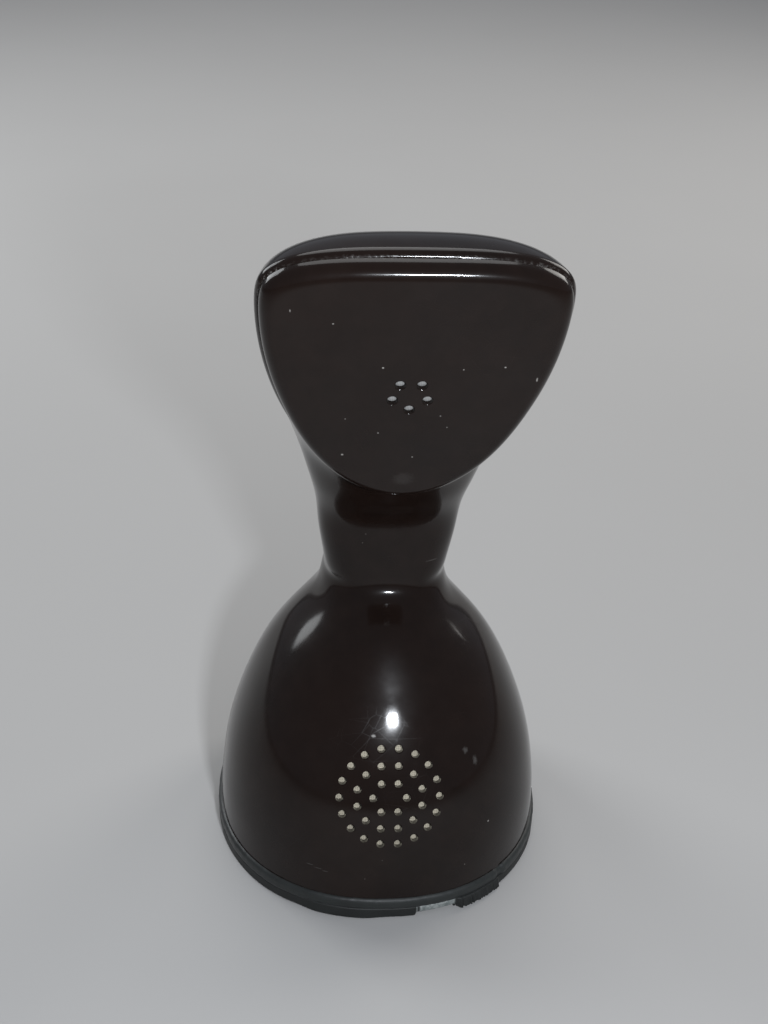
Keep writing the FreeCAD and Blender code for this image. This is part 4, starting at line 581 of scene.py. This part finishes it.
# Amounts in millimetres. The draw-in keeps the wander inside the CAD model's outline
BEAD_DRAW_IN = 0.1
SKIRT_DRAW_IN = 0.12
KINK_IN = 0.5
KINK_DOWN = 0.25
BULGE_OUT = 0.7
FLAP_OUT = 1.35
FLAP_RAG = 0.22
BEAD_ROUND = 1.6
SKIRT_ROUND = 1.3
QUARTER = math.pi / 2


def foot_piece(name, profile, shift):
    """A ring round the foot from (inset, z) pairs. shift gives each point's own change of inset and z."""
    rings = []
    for inset, z in profile:
        ring = foot_outline(inset, FOOT_COUNT)
        away = ring / np.linalg.norm(ring, axis=1)[:, None]
        change_in, change_z = shift(front_angle(ring), inset, z)
        rings.append(np.column_stack([ring - away * change_in[:, None], z + change_z]))
    return ring_object(name, rings, loop=True, sharp=FOOT_SHARP)


def bead_shift(angle, inset, z):
    """The bead wanders a little and sits lower and further in at the kink. Its hidden rear stays."""
    free = 1.0 if inset < SHELL_STEP + BEAD_SEAT - 0.1 else 0.0
    change = 0.07 * wobble(angle, (3, 5, 9, 17, 31), 3) + 0.03 * wobble(angle, (61, 83, 127), 4)
    kink = hump(angle, *KINK)
    return (free * (change + BEAD_DRAW_IN + KINK_IN * kink),
            -KINK_DOWN * kink * free * (z > KINK_FROM_Z))


def skirt_shift(angle, inset, z):
    """The skirt wanders and bulges, is torn away in one place, and hangs out in a flap beside it."""
    outer = np.clip(1 - inset / 5.0, 0, 1)
    depth = np.clip((SKIRT_TOP - z) / 3.0, 0, 1)
    wander = 0.08 * wobble(angle, (2, 4, 7, 13), 5) * outer
    bulge = -BULGE_OUT * hump(angle, *BULGE) * outer * depth
    edge = ragged(angle)
    low, high, soft = TEAR
    torn = hump(angle + 0.6 * edge, low, high, soft)
    bite = np.interp(z, TEAR_LEVELS, TEAR_DEPTHS)
    bared = torn * (bite + 0.06 * wobble(angle, (151, 233), 9)) * np.clip(1 - inset / 5.5, 0, 1)
    flap = hump(angle, *FLAP) * (1.15 - 0.025 * np.clip(angle - 27, 0, 14))
    hang = -FLAP_OUT * flap * outer * (0.35 + 0.65 * depth) * (1 + 0.3 * edge)
    lower = FLAP_RAG * flap * np.abs(edge) * (z < 1.0)
    return wander + bulge + bared + hang + SKIRT_DRAW_IN, lower


bead_profile = [(SHELL_STEP + BEAD_SEAT, SKIRT_TOP), (0.12, SKIRT_TOP), (0.02, 4.32), (0, 5.1), (0, 5.7)]
bead_profile += [(BEAD_ROUND - BEAD_ROUND * math.cos(a), BEAD_TOP - BEAD_ROUND + BEAD_ROUND * math.sin(a))
                 for a in np.linspace(0, QUARTER, 9)]
bead_profile += [(SHELL_STEP + BEAD_SEAT, BEAD_TOP)]
bead = foot_piece("bead_band", bead_profile, bead_shift)
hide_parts("foot_bead")

skirt_profile = [(SKIRT_WIDTH, SKIRT_TOP), (3.0, SKIRT_TOP), (1.2, SKIRT_TOP), (0.25, 4.18), (0.05, 4.0)]
skirt_profile += [(0, z) for z in np.linspace(3.8, SKIRT_ROUND, 11)]
skirt_profile += [(SKIRT_ROUND - SKIRT_ROUND * math.cos(a), SKIRT_ROUND - SKIRT_ROUND * math.sin(a))
                  for a in np.linspace(0.2, QUARTER, 7)]
skirt_profile += [(3.4, 0), (SKIRT_WIDTH, 0)]
skirt = foot_piece("skirt_band", skirt_profile, skirt_shift)

# The skirt's material reads where the rubber is torn from this
bare = skirt.data.attributes.new("bare", "FLOAT", "POINT")
skirt_points = np.array([v.co for v in skirt.data.vertices]) / MM
skirt_angles = front_angle(skirt_points)
bare_share = hump(skirt_angles + 0.6 * ragged(skirt_angles), *TEAR_BARE)
bare.data.foreach_set("value", bare_share * (skirt_points[:, 2] > BARE_FROM_Z))
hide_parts("foot_skirt")

# Figures on the number ring, read from below through the finger holes
FIGURE_RING_R = 27.5
FIGURE_HEIGHT = 6.0
SIZE_PER_HEIGHT = 1.35
FIGURE_HALF_THICK = 0.03
FIGURE_BOLDER = 0.05
FIRST_FIGURE_ANGLE = -120
FIGURE_STEP = -30


def figure(text, angle):
    curve = bpy.data.curves.new("figure", "FONT")
    curve.body = text
    curve.size = FIGURE_HEIGHT * MM * SIZE_PER_HEIGHT
    curve.align_x = "CENTER"
    curve.align_y = "CENTER"
    curve.extrude = FIGURE_HALF_THICK * MM
    curve.offset = FIGURE_BOLDER * MM
    writing = linked("figure", curve)
    graph = bpy.context.evaluated_depsgraph_get()
    mesh = bpy.data.meshes.new_from_object(writing.evaluated_get(graph))
    bpy.data.objects.remove(writing)
    at = Vector((*on_circle(FIGURE_RING_R, angle), NUMBER_RING_Z)) * MM
    mesh.transform(Matrix.Translation(at) @ Matrix.Rotation(math.pi, 4, "X"))
    return linked("figure", mesh)


figures = joined("ring_figures", [figure(digit, math.radians(FIRST_FIGURE_ANGLE + FIGURE_STEP * k))
                                  for k, digit in enumerate("1234567890")])
for piece in (shell, plate, ear_pads, bead, skirt, figures):
    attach(piece, "root")


# Materials. Patterns are in object coordinates, so a noise scale of 1000 has grains of about a millimetre
class Look:
    """A material's node tree, with short ways to add nodes."""

    def __init__(self, name, colour, roughness, metallic=0.0, specular=0.5):
        self.material = bpy.data.materials.new(name)
        self.material.use_nodes = True
        self.tree = self.material.node_tree
        self.shader = self.tree.nodes["Principled BSDF"]
        self.set(self.shader, "Base Color", (*colour, 1))
        self.set(self.shader, "Roughness", roughness)
        self.set(self.shader, "Metallic", metallic)
        self.set(self.shader, "Specular IOR Level", specular)
        self.place = self.add("ShaderNodeTexCoord").outputs["Object"]

    def set(self, node, name, value):
        if isinstance(value, bpy.types.NodeSocket):
            self.tree.links.new(value, node.inputs[name])
        else:
            node.inputs[name].default_value = value

    def add(self, kind, settings=(), **inputs):
        """A node. An input is named with _ for a space, or is i and its number."""
        node = self.tree.nodes.new(kind)
        for name, value in dict(settings).items():
            setattr(node, name, value)
        for name, value in inputs.items():
            key = int(name[1:]) if name[0] == "i" and name[1:].isdigit() else name.replace("_", " ")
            self.set(node, key, value)
        return node

    def stretched(self, x=1.0, y=1.0, z=1.0):
        return self.vector_math("MULTIPLY", self.place, (x, y, z))

    def vector_math(self, operation, a, b):
        return self.add("ShaderNodeVectorMath", {"operation": operation}, i0=a, i1=b).outputs[0]

    def noise(self, scale, detail=3.0, rough=0.55, place=None):
        node = self.add("ShaderNodeTexNoise", Scale=scale, Detail=detail, Roughness=rough,
                        Vector=place or self.place)
        return node.outputs["Fac"]

    def bands(self, direction, pitch, distortion, place):
        """Waves that repeat every pitch metres."""
        node = self.add("ShaderNodeTexWave", {"bands_direction": direction}, Vector=place,
                        Scale=math.pi / 10 / pitch, Distortion=distortion, Detail=1.0)
        return node.outputs["Fac"]

    def ramp(self, value, low, high, to_low=0.0, to_high=1.0):
        node = self.add("ShaderNodeMapRange", {"clamp": True}, Value=value)
        for name, number in (("From Min", low), ("From Max", high),
                             ("To Min", to_low), ("To Max", to_high)):
            self.set(node, name, number)
        return node.outputs["Result"]

    def math(self, operation, a, b=0.0):
        return self.add("ShaderNodeMath", {"operation": operation}, i0=a, i1=b).outputs[0]

    def mix(self, share, a, b):
        """Two colours, mixed. Input 0 is the share, and 6 and 7 are the colours."""
        node = self.add("ShaderNodeMix", {"data_type": "RGBA"})
        self.set(node, 0, share)
        self.set(node, 6, a if isinstance(a, bpy.types.NodeSocket) else (*a, 1))
        self.set(node, 7, b if isinstance(b, bpy.types.NodeSocket) else (*b, 1))
        return node.outputs[2]

    def bump(self, height, strength, distance, normal=None):
        node = self.add("ShaderNodeBump", Height=height, Strength=strength, Distance=distance)
        if normal is not None:
            self.set(node, "Normal", normal)
        return node.outputs["Normal"]

    def finish(self, colour=None, roughness=None, normal=None):
        for name, value in (("Base Color", colour), ("Roughness", roughness), ("Normal", normal)):
            if value is not None:
                self.set(self.shader, name, value)
        return self.material


def shaded(colour, factor):
    return tuple(c * factor for c in colour)


def specks(look, scale, size, keep):
    """Small round spots in a random part of the cells of a cell pattern."""
    cells = look.add("ShaderNodeTexVoronoi", {"feature": "F1"}, Vector=look.place, Scale=scale)
    near = look.ramp(cells.outputs["Distance"], size, size * 0.5)
    chance = look.add("ShaderNodeSeparateColor", Color=cells.outputs["Color"])
    return look.math("MULTIPLY", near, look.math("GREATER_THAN", chance.outputs[0], keep))


# Finish of the moulded plastic: colours, roughness, and the pale rubbed line along the seam
PLASTIC = (0.0115, 0.0064, 0.0048)
PLASTIC_CLOUD = (0.0120, 0.0066, 0.0049)
PLASTIC_DEEP = (0.0088, 0.0055, 0.0044)
PLASTIC_MOTTLE = (0.0160, 0.0095, 0.0074)
DUST = (0.22, 0.20, 0.18)
BIG_DUST = (0.30, 0.28, 0.25)
RUBBED = (0.17, 0.16, 0.15)
RUBBED_REACH = 0.75 * MM
RUBBED_CORE = 0.22 * MM
RUBBED_LOWEST = 0.132
COAT_ROUGHNESS = 0.34
COAT_IOR = 1.45


def scratched(look, rough):
    """Adds two sets of hair-thin scratches, which cross each other, to a roughness."""
    for stretch in ((1, 9, 5), (7, 1, 6)):
        lines = look.add("ShaderNodeTexVoronoi", {"feature": "DISTANCE_TO_EDGE"}, Scale=58,
                         Vector=look.stretched(*[s ** 0.5 for s in stretch]))
        thin = look.ramp(lines.outputs["Distance"], 0.006, 0.0)
        part = look.math("MULTIPLY", thin, look.ramp(look.noise(34, 2), 0.55, 0.66))
        rough = look.math("ADD", rough, look.math("MULTIPLY", part, 0.35))
    return rough


def marked(look, colour, rough, marks):
    """Adds single specks and scratches with uneven edges to a colour and a roughness."""
    grain = look.noise(1500, 2)
    for centre, radii, strength, tone in marks:
        away = look.vector_math("SUBTRACT", look.place, tuple(c * MM for c in centre))
        scaled = look.vector_math("MULTIPLY", away, tuple(1 / (r * MM) for r in radii))
        length = look.add("ShaderNodeVectorMath", {"operation": "LENGTH"}, i0=scaled).outputs["Value"]
        spot = look.math("MULTIPLY", look.ramp(look.math("ADD", length, grain), 1.5, 0.9), strength)
        colour = look.mix(spot, colour, tone)
        rough = look.math("ADD", rough, look.math("MULTIPLY", spot, 0.4))
    return colour, rough


def worn_seam(look, colour, rough):
    """Adds the pale rubbed line where shell and ear plate meet, in patches. It stays off the dome."""
    offset = look.vector_math("SUBTRACT", look.place, (0, SEAM_TOP[0] * MM, SEAM_TOP[1] * MM))
    gap = look.add("ShaderNodeVectorMath", {"operation": "DOT_PRODUCT"}, i0=offset,
                   i1=tuple(float(v) for v in out_way)).outputs["Value"]
    near = look.ramp(look.math("ABSOLUTE", gap), RUBBED_REACH, RUBBED_CORE)
    level = look.add("ShaderNodeSeparateXYZ", Vector=look.place).outputs["Z"]
    near = look.math("MULTIPLY", near, look.math("GREATER_THAN", level, RUBBED_LOWEST))
    grain = look.ramp(look.noise(1300, 3, 0.7), 0.5, 0.62)
    patches = look.ramp(look.noise(120, 3), 0.42, 0.6, 0.15, 0.9)
    worn = look.math("MULTIPLY", look.math("MULTIPLY", near, grain), patches)
    colour = look.mix(worn, colour, RUBBED)
    return colour, look.math("ADD", rough, look.math("MULTIPLY", worn, 0.3))


def glossy_plastic(name, seam=False, marks=()):
    """Very dark brown moulded plastic with dust, fine scratches and a soft swirl haze."""
    look = Look(name, PLASTIC, 0.1, specular=0.23)
    cloud = look.noise(22, 4)
    colour = look.mix(look.ramp(cloud, 0.35, 0.65), PLASTIC_CLOUD, PLASTIC_DEEP)
    mottle = look.noise(160, 2)
    colour = look.mix(look.ramp(mottle, 0.4, 0.7, 0, 0.35), colour, PLASTIC_MOTTLE)
    dust = specks(look, 150, 0.032, 0.7)
    colour = look.mix(look.math("MULTIPLY", dust, 0.8), colour, DUST)
    big_dust = specks(look, 62, 0.02, 0.62)
    colour = look.mix(look.math("MULTIPLY", big_dust, 0.85), colour, BIG_DUST)
    rough = scratched(look, look.ramp(look.noise(75, 5), 0.3, 0.75, 0.055, 0.15))
    if marks:
        colour, rough = marked(look, colour, rough, marks)
    if seam:
        colour, rough = worn_seam(look, colour, rough)
    wave = look.bump(look.noise(38, 2), 0.25, 0.06 * MM)
    grit = look.math("ADD", look.math("MULTIPLY", dust, 0.5), look.noise(900, 2))
    normal = look.bump(grit, 0.12, 0.02 * MM, wave)
    look.set(look.shader, "Coat Weight", look.ramp(look.noise(48, 4, 0.65), 0.3, 0.75, 0.02, 0.12))
    look.set(look.shader, "Coat Roughness", COAT_ROUGHNESS)
    look.set(look.shader, "Coat IOR", COAT_IOR)
    return look.finish(colour, rough, normal)


TORN_RUBBER = ((0.30, 0.32, 0.31), (0.15, 0.17, 0.165))


def rubber(name, colour, rough, bare=False, grain=650):
    """Dull rubber, dusty in patches. Where bare is set, its torn place shows the pale core."""
    look = Look(name, colour, rough, specular=0.4)
    fine = look.noise(grain, 4, 0.65)
    worn = look.noise(55, 4)
    tone = look.mix(look.ramp(worn, 0.4, 0.7), colour, shaded(colour, 1.7))
    tone = look.mix(look.ramp(look.noise(1900, 2), 0.62, 0.75, 0, 0.4), tone, shaded(colour, 2.6))
    if bare:
        share = look.add("ShaderNodeAttribute", {"attribute_name": "bare"}).outputs["Fac"]
        core = look.mix(look.ramp(look.noise(700, 4), 0.4, 0.65), *TORN_RUBBER)
        tone = look.mix(share, tone, core)
    roughness = look.ramp(worn, 0.3, 0.7, rough - 0.1, rough + 0.1)
    return look.finish(tone, roughness, look.bump(fine, 0.35, 0.08 * MM))


def metal(name, colour, rough, grain=(1, 1, 1), cast=0.0, dull=None):
    """Metal with blotches of tarnish, and tool lines along grain or a cast skin."""
    look = Look(name, colour, rough, metallic=1.0)
    lines = look.noise(700, 3, 0.6, look.stretched(*grain))
    blotch = look.noise(60, 4)
    tone = look.mix(look.ramp(blotch, 0.42, 0.72), colour, dull or shaded(colour, 0.62))
    tone = look.mix(look.ramp(lines, 0.45, 0.7, 0, 0.35), tone, shaded(colour, 0.75))
    roughness = look.math("ADD", look.ramp(lines, 0.3, 0.7, rough - 0.07, rough + 0.09),
                          look.ramp(blotch, 0.4, 0.7, 0, 0.12))
    height = look.math("ADD", lines, look.math("MULTIPLY", look.noise(380, 4), cast))
    return look.finish(tone, roughness, look.bump(height, 0.3, 0.05 * MM))


def woven(name, colour, pitch, rough, turn):
    """Cloth or gauze that lies turned about X: two sets of threads that cross, with painted shade between
    the threads.
    """
    look = Look(name, colour, rough, specular=0.2)
    spin = look.add("ShaderNodeVectorRotate", {"rotation_type": "X_AXIS"},
                    Vector=look.place, Angle=turn).outputs[0]
    weave = look.math("MAXIMUM", *[look.bands(direction, pitch, 0.6, spin) for direction in ("X", "Y")])
    stain = look.noise(110, 4)
    # Painted shade: the places between the threads are coloured darker than the threads.
    tone = look.mix(look.ramp(weave, 0.2, 0.85), shaded(colour, 0.55), colour)
    tone = look.mix(look.ramp(stain, 0.45, 0.68, 0, 0.6), tone, shaded(colour, 0.6))
    return look.finish(tone, None, look.bump(weave, 0.6, 0.12 * MM))


def dull_plastic(name, colour, rough, fibre=None):
    """Pressed plastic, cloudy and finely streaked, or a laminate that shows its fibre."""
    look = Look(name, colour, rough, specular=0.4)
    cloud = look.noise(90, 4)
    tone = look.mix(look.ramp(cloud, 0.4, 0.68), colour, shaded(colour, 0.72))
    streak = look.noise(420, 3, 0.6, look.stretched(1, 7, 1) if fibre else None)
    tone = look.mix(look.ramp(streak, 0.5, 0.75, 0, 0.5), tone, fibre or shaded(colour, 1.35))
    return look.finish(tone, look.ramp(cloud, 0.35, 0.7, rough - 0.08, rough + 0.1),
                       look.bump(streak, 0.25, 0.04 * MM))


def enamel(name, colour, rough):
    """Paint with an orange peel skin and small chips."""
    look = Look(name, colour, rough, specular=0.5)
    peel = look.noise(520, 2)
    chips = look.math("MULTIPLY", specks(look, 90, 0.09, 0.72), look.ramp(look.noise(800, 3), 0.35, 0.55))
    tone = look.mix(look.ramp(look.noise(45, 4), 0.4, 0.7), colour, shaded(colour, 1.6))
    tone = look.mix(chips, tone, (0.13, 0.12, 0.11))
    return look.finish(tone, look.ramp(peel, 0.3, 0.7, rough - 0.07, rough + 0.08),
                       look.bump(look.math("SUBTRACT", peel, chips), 0.3, 0.05 * MM))


def wound_wire(name, colour):
    """Lacquered wire in even turns along X, with painted shade in the grooves between the turns."""
    look = Look(name, colour, 0.35, metallic=0.5)
    bands = look.bands("X", 0.5 * MM, 1.0, look.place)
    # Painted shade: the grooves between the turns are coloured darker than the wire.
    tone = look.mix(look.ramp(bands, 0.1, 0.8), shaded(colour, 0.35), colour)
    tone = look.mix(look.ramp(look.noise(120, 3), 0.5, 0.7, 0, 0.6), tone, shaded(colour, 0.6))
    return look.finish(tone, None, look.bump(bands, 0.6, 0.15 * MM))


def number_card(name):
    """Yellowed card with a few brown specks."""
    look = Look(name, (0.62, 0.56, 0.44), 0.5, specular=0.4)
    tone = look.mix(look.ramp(look.noise(35, 4), 0.4, 0.7), (0.66, 0.61, 0.49), (0.50, 0.43, 0.30))
    tone = look.mix(specks(look, 260, 0.05, 0.55), tone, (0.20, 0.16, 0.11))
    return look.finish(tone, look.ramp(look.noise(200, 3), 0.35, 0.7, 0.38, 0.6),
                       look.bump(look.noise(900, 3), 0.15, 0.03 * MM))


# Single marks on the ear plate, neck and dome: centre and half sizes in millimetres, strength, tone
PALE, CHALK = (0.42, 0.40, 0.37), (0.10, 0.095, 0.09)
SHELL_MARKS = [
    ((-20.9, -50.9, 203.7), (0.32, 2, 0.3), 0.8, PALE),
    ((-7.7, -46.8, 189.7), (0.34, 2, 0.3), 0.9, PALE),
    ((13.1, -46.6, 189.2), (0.26, 2, 0.26), 0.7, PALE),
    ((23.8, -46.8, 190.0), (0.32, 2, 0.26), 0.9, PALE),
    ((32.6, -45.4, 185.8), (0.3, 2, 0.9), 0.6, PALE),
    ((-31.6, -52.0, 207.6), (0.24, 2, 0.5), 0.6, PALE),
    ((8.5, -41.8, 173.2), (0.26, 2, 0.24), 0.6, PALE),
    ((10.6, -40.5, 169.1), (0.22, 2, 0.22), 0.6, PALE),
    ((-16.7, -41.3, 172.0), (0.24, 2, 0.22), 0.6, PALE),
    ((-7.7, -39.9, 167.0), (0.3, 2, 0.24), 0.7, PALE),
    ((-17.0, -37.3, 158.9), (0.4, 2, 0.34), 0.7, PALE),
    ((2.1, -37.1, 158.1), (0.3, 2, 0.24), 0.8, PALE),
    ((0.2, -34.5, 149.6), (3.4, 3, 3.0), 0.14, CHALK),
    ((13.7, -4.3, 102.6), (3.0, 1.6, 0.26), 0.5, CHALK),
    ((-47.4, 2.5, 43.4), (1.2, 0.6, 0.5), 0.8, PALE),
    ((-5.1, -38.5, 61.0), (0.8, 0.6, 0.6), 0.7, PALE),
    ((23.6, -37.4, 54.0), (1.2, 1.0, 1.6), 0.5, CHALK),
    ((26.9, -37.8, 50.2), (0.9, 1.2, 2.2), 0.5, CHALK),
    ((32.0, -42.9, 29.4), (0.4, 0.4, 0.4), 0.8, PALE),
    ((-24.2, -49.0, 18.4), (1.6, 1.2, 0.16), 0.6, CHALK),
    ((-21.7, -50.1, 17.7), (1.7, 1.2, 0.14), 0.6, CHALK),
    ((-19.5, -51.0, 17.1), (1.4, 1.2, 0.14), 0.5, CHALK),
]
GAUZE_PITCH = 0.00045
CLOTH_PITCH = 0.00055

# A material for each slot of the record
LOOKS = {
    "shell_plastic": glossy_plastic("shell plastic", seam=True, marks=SHELL_MARKS),
    "dial_plastic": glossy_plastic("dial plastic"),
    "button_plastic": glossy_plastic("button plastic"),
    "black_rubber": rubber("black rubber", (0.0105, 0.0115, 0.011), 0.55, bare=True),
    "grey_bead": rubber("grey bead", (0.0165, 0.0185, 0.018), 0.45, grain=420),
    "grey_rubber": rubber("grey rubber", (0.12, 0.12, 0.115), 0.62),
    "grey_gauze": woven("grey gauze", (0.40, 0.40, 0.39), GAUZE_PITCH, 0.6, -math.pi / 2 - LEAN),
    "cream_cloth": woven("cream cloth", (0.66, 0.60, 0.47), CLOTH_PITCH, 0.85, -math.pi / 2 + MIC_RISE),
    "capsule_metal": metal("capsule aluminium", (0.62, 0.61, 0.59), 0.32, cast=0.3),
    "plated_steel": metal("zinc plated steel", (0.56, 0.55, 0.50), 0.30, dull=(0.36, 0.34, 0.28)),
    "turned_steel": metal("turned steel", (0.55, 0.55, 0.55), 0.22, grain=(0.3, 0.3, 4)),
    "spring_steel": metal("spring steel", (0.36, 0.36, 0.38), 0.30, grain=(3, 3, 0.4)),
    "cast_metal": metal("die cast metal", (0.42, 0.42, 0.41), 0.48, cast=1.6),
    "brass": metal("brass", (0.66, 0.46, 0.18), 0.27, grain=(0.4, 0.4, 3), dull=(0.34, 0.21, 0.08)),
    "painted_base": enamel("black enamel", (0.0125, 0.0125, 0.0125), 0.32),
    "number_card": number_card("number card"),
    "dark_plastic": dull_plastic("brown phenolic", (0.045, 0.022, 0.013), 0.42),
    "board_laminate": dull_plastic("board laminate", (0.26, 0.145, 0.06), 0.45, fibre=(0.36, 0.22, 0.10)),
    "core_iron": metal("laminated iron", (0.20, 0.19, 0.19), 0.5, grain=(1, 1, 8)),
    "copper_winding": wound_wire("copper winding", (0.42, 0.13, 0.045)),
    "lead_sleeve": rubber("lead sleeve", (0.16, 0.16, 0.15), 0.5),
}
figure_ink = dull_plastic("figure ink", (0.016, 0.013, 0.012), 0.5)


def paint(piece, material):
    piece.data.materials.clear()
    piece.data.materials.append(material)


for entry in frame["record"]["subparts"]:
    paint(nodes[entry["node"]], LOOKS[entry["material_slot"]])
for piece, slot in ((shell, "shell_plastic"), (plate, "shell_plastic"), (bead, "grey_bead"),
                    (skirt, "black_rubber"), (ear_pads, "grey_gauze")):
    paint(piece, LOOKS[slot])
paint(figures, figure_ink)

# Camera at the photograph's angle
CAMERA_AT = (-1.53, -392.37, 359.19)
CAMERA_LENS = 52.73
CAMERA_SENSOR = 36
YAW = math.radians(5.18)
PITCH = math.radians(31.64)
ROLL = math.radians(2.62)


def camera_axes():
    """The camera's right, up and backward directions before it is turned by the yaw."""
    across = Vector((1, 0, 0))
    upward = Vector((0, math.sin(PITCH), math.cos(PITCH)))
    ahead = Vector((0, math.cos(PITCH), -math.sin(PITCH)))
    return (across * math.cos(ROLL) + upward * math.sin(ROLL),
            upward * math.cos(ROLL) - across * math.sin(ROLL), -ahead)


camera_data = bpy.data.cameras.new("camera")
camera_data.lens = CAMERA_LENS
camera_data.sensor_width = CAMERA_SENSOR
camera_data.clip_start = 0.01
camera = linked("camera", camera_data)
turn_back = Matrix.Rotation(-YAW, 3, "Z")
camera_place = turn_back @ Vector(CAMERA_AT) * MM
camera_turn = Matrix([turn_back @ axis for axis in camera_axes()]).transposed()
camera.matrix_world = Matrix.Translation(camera_place) @ camera_turn.to_4x4()
bpy.context.scene.camera = camera

# Floor, left out under the foot so that light reaches the underside
FLOOR_RADIUS = 12000.0
FLOOR_OPENING = 46.0
FLOOR_COUNT = 96
FLOOR_COLOUR = (0.46, 0.455, 0.445)
FLOOR_TONES = ((0.45, 0.445, 0.435), (0.47, 0.465, 0.455))
floor = ring_object("floor", [circle(radius, 0.0, FLOOR_COUNT)
                              for radius in (FLOOR_RADIUS, FLOOR_OPENING)])
if floor.data.polygons[0].normal.z < 0:
    floor.data.flip_normals()
floor_look = Look("floor", FLOOR_COLOUR, 0.8, specular=0.1)
floor_look.finish(floor_look.mix(floor_look.noise(6, 3), *FLOOR_TONES))

# From below the floor is clear, so that the underside can be seen
clear = floor_look.add("ShaderNodeBsdfTransparent").outputs[0]
below = floor_look.add("ShaderNodeNewGeometry").outputs["Backfacing"]
sided = floor_look.add("ShaderNodeMixShader", i0=below, i1=floor_look.shader.outputs[0], i2=clear)
floor_look.set(floor_look.tree.nodes["Material Output"], "Surface", sided.outputs[0])
paint(floor, floor_look.material)

# Lights: name, place and target in metres, size, watts, colour, and a height where it is a rectangle
WORLD_COLOUR = (0.86, 0.9, 1.0)
WORLD_STRENGTH = 0.22
OBJECT = (0, 0, 0.1)
FLOOR_BEHIND = (0, 0.35, 0)
LAMPS = [
    ("left window", (-0.75, 0.62, 0.62), OBJECT, 0.45, 4.6, (0.95, 0.98, 1.0), 0.6),
    ("right wall", (0.8, 0.62, 0.62), OBJECT, 0.45, 3.6, (1.0, 0.97, 0.93), 0.6),
    ("overhead", (0.0, 0.75, 1.15), FLOOR_BEHIND, 0.9, 5.0, (1, 1, 1), None),
    ("flash", (0.049, -0.403, 0.338), OBJECT, 0.04, 1.5, (0.90, 0.94, 1.0), 0.014),
]


def area_light(name, at, towards, size, power, colour, height):
    data = bpy.data.lights.new(name, "AREA")
    data.energy = power
    data.color = colour
    data.shape = "RECTANGLE" if height else "DISK"
    data.size = size
    if height:
        data.size_y = height
    lamp = linked(name, data)
    lamp.location = at
    lamp.rotation_euler = (Vector(towards) - Vector(at)).to_track_quat("-Z", "Y").to_euler()


world = bpy.data.worlds.new("world")
world.use_nodes = True
background = world.node_tree.nodes["Background"]
background.inputs["Color"].default_value = (*WORLD_COLOUR, 1)
background.inputs["Strength"].default_value = WORLD_STRENGTH
bpy.context.scene.world = world
for lamp_settings in LAMPS:
    area_light(*lamp_settings)
bpy.context.scene.view_settings.view_transform = "Standard"
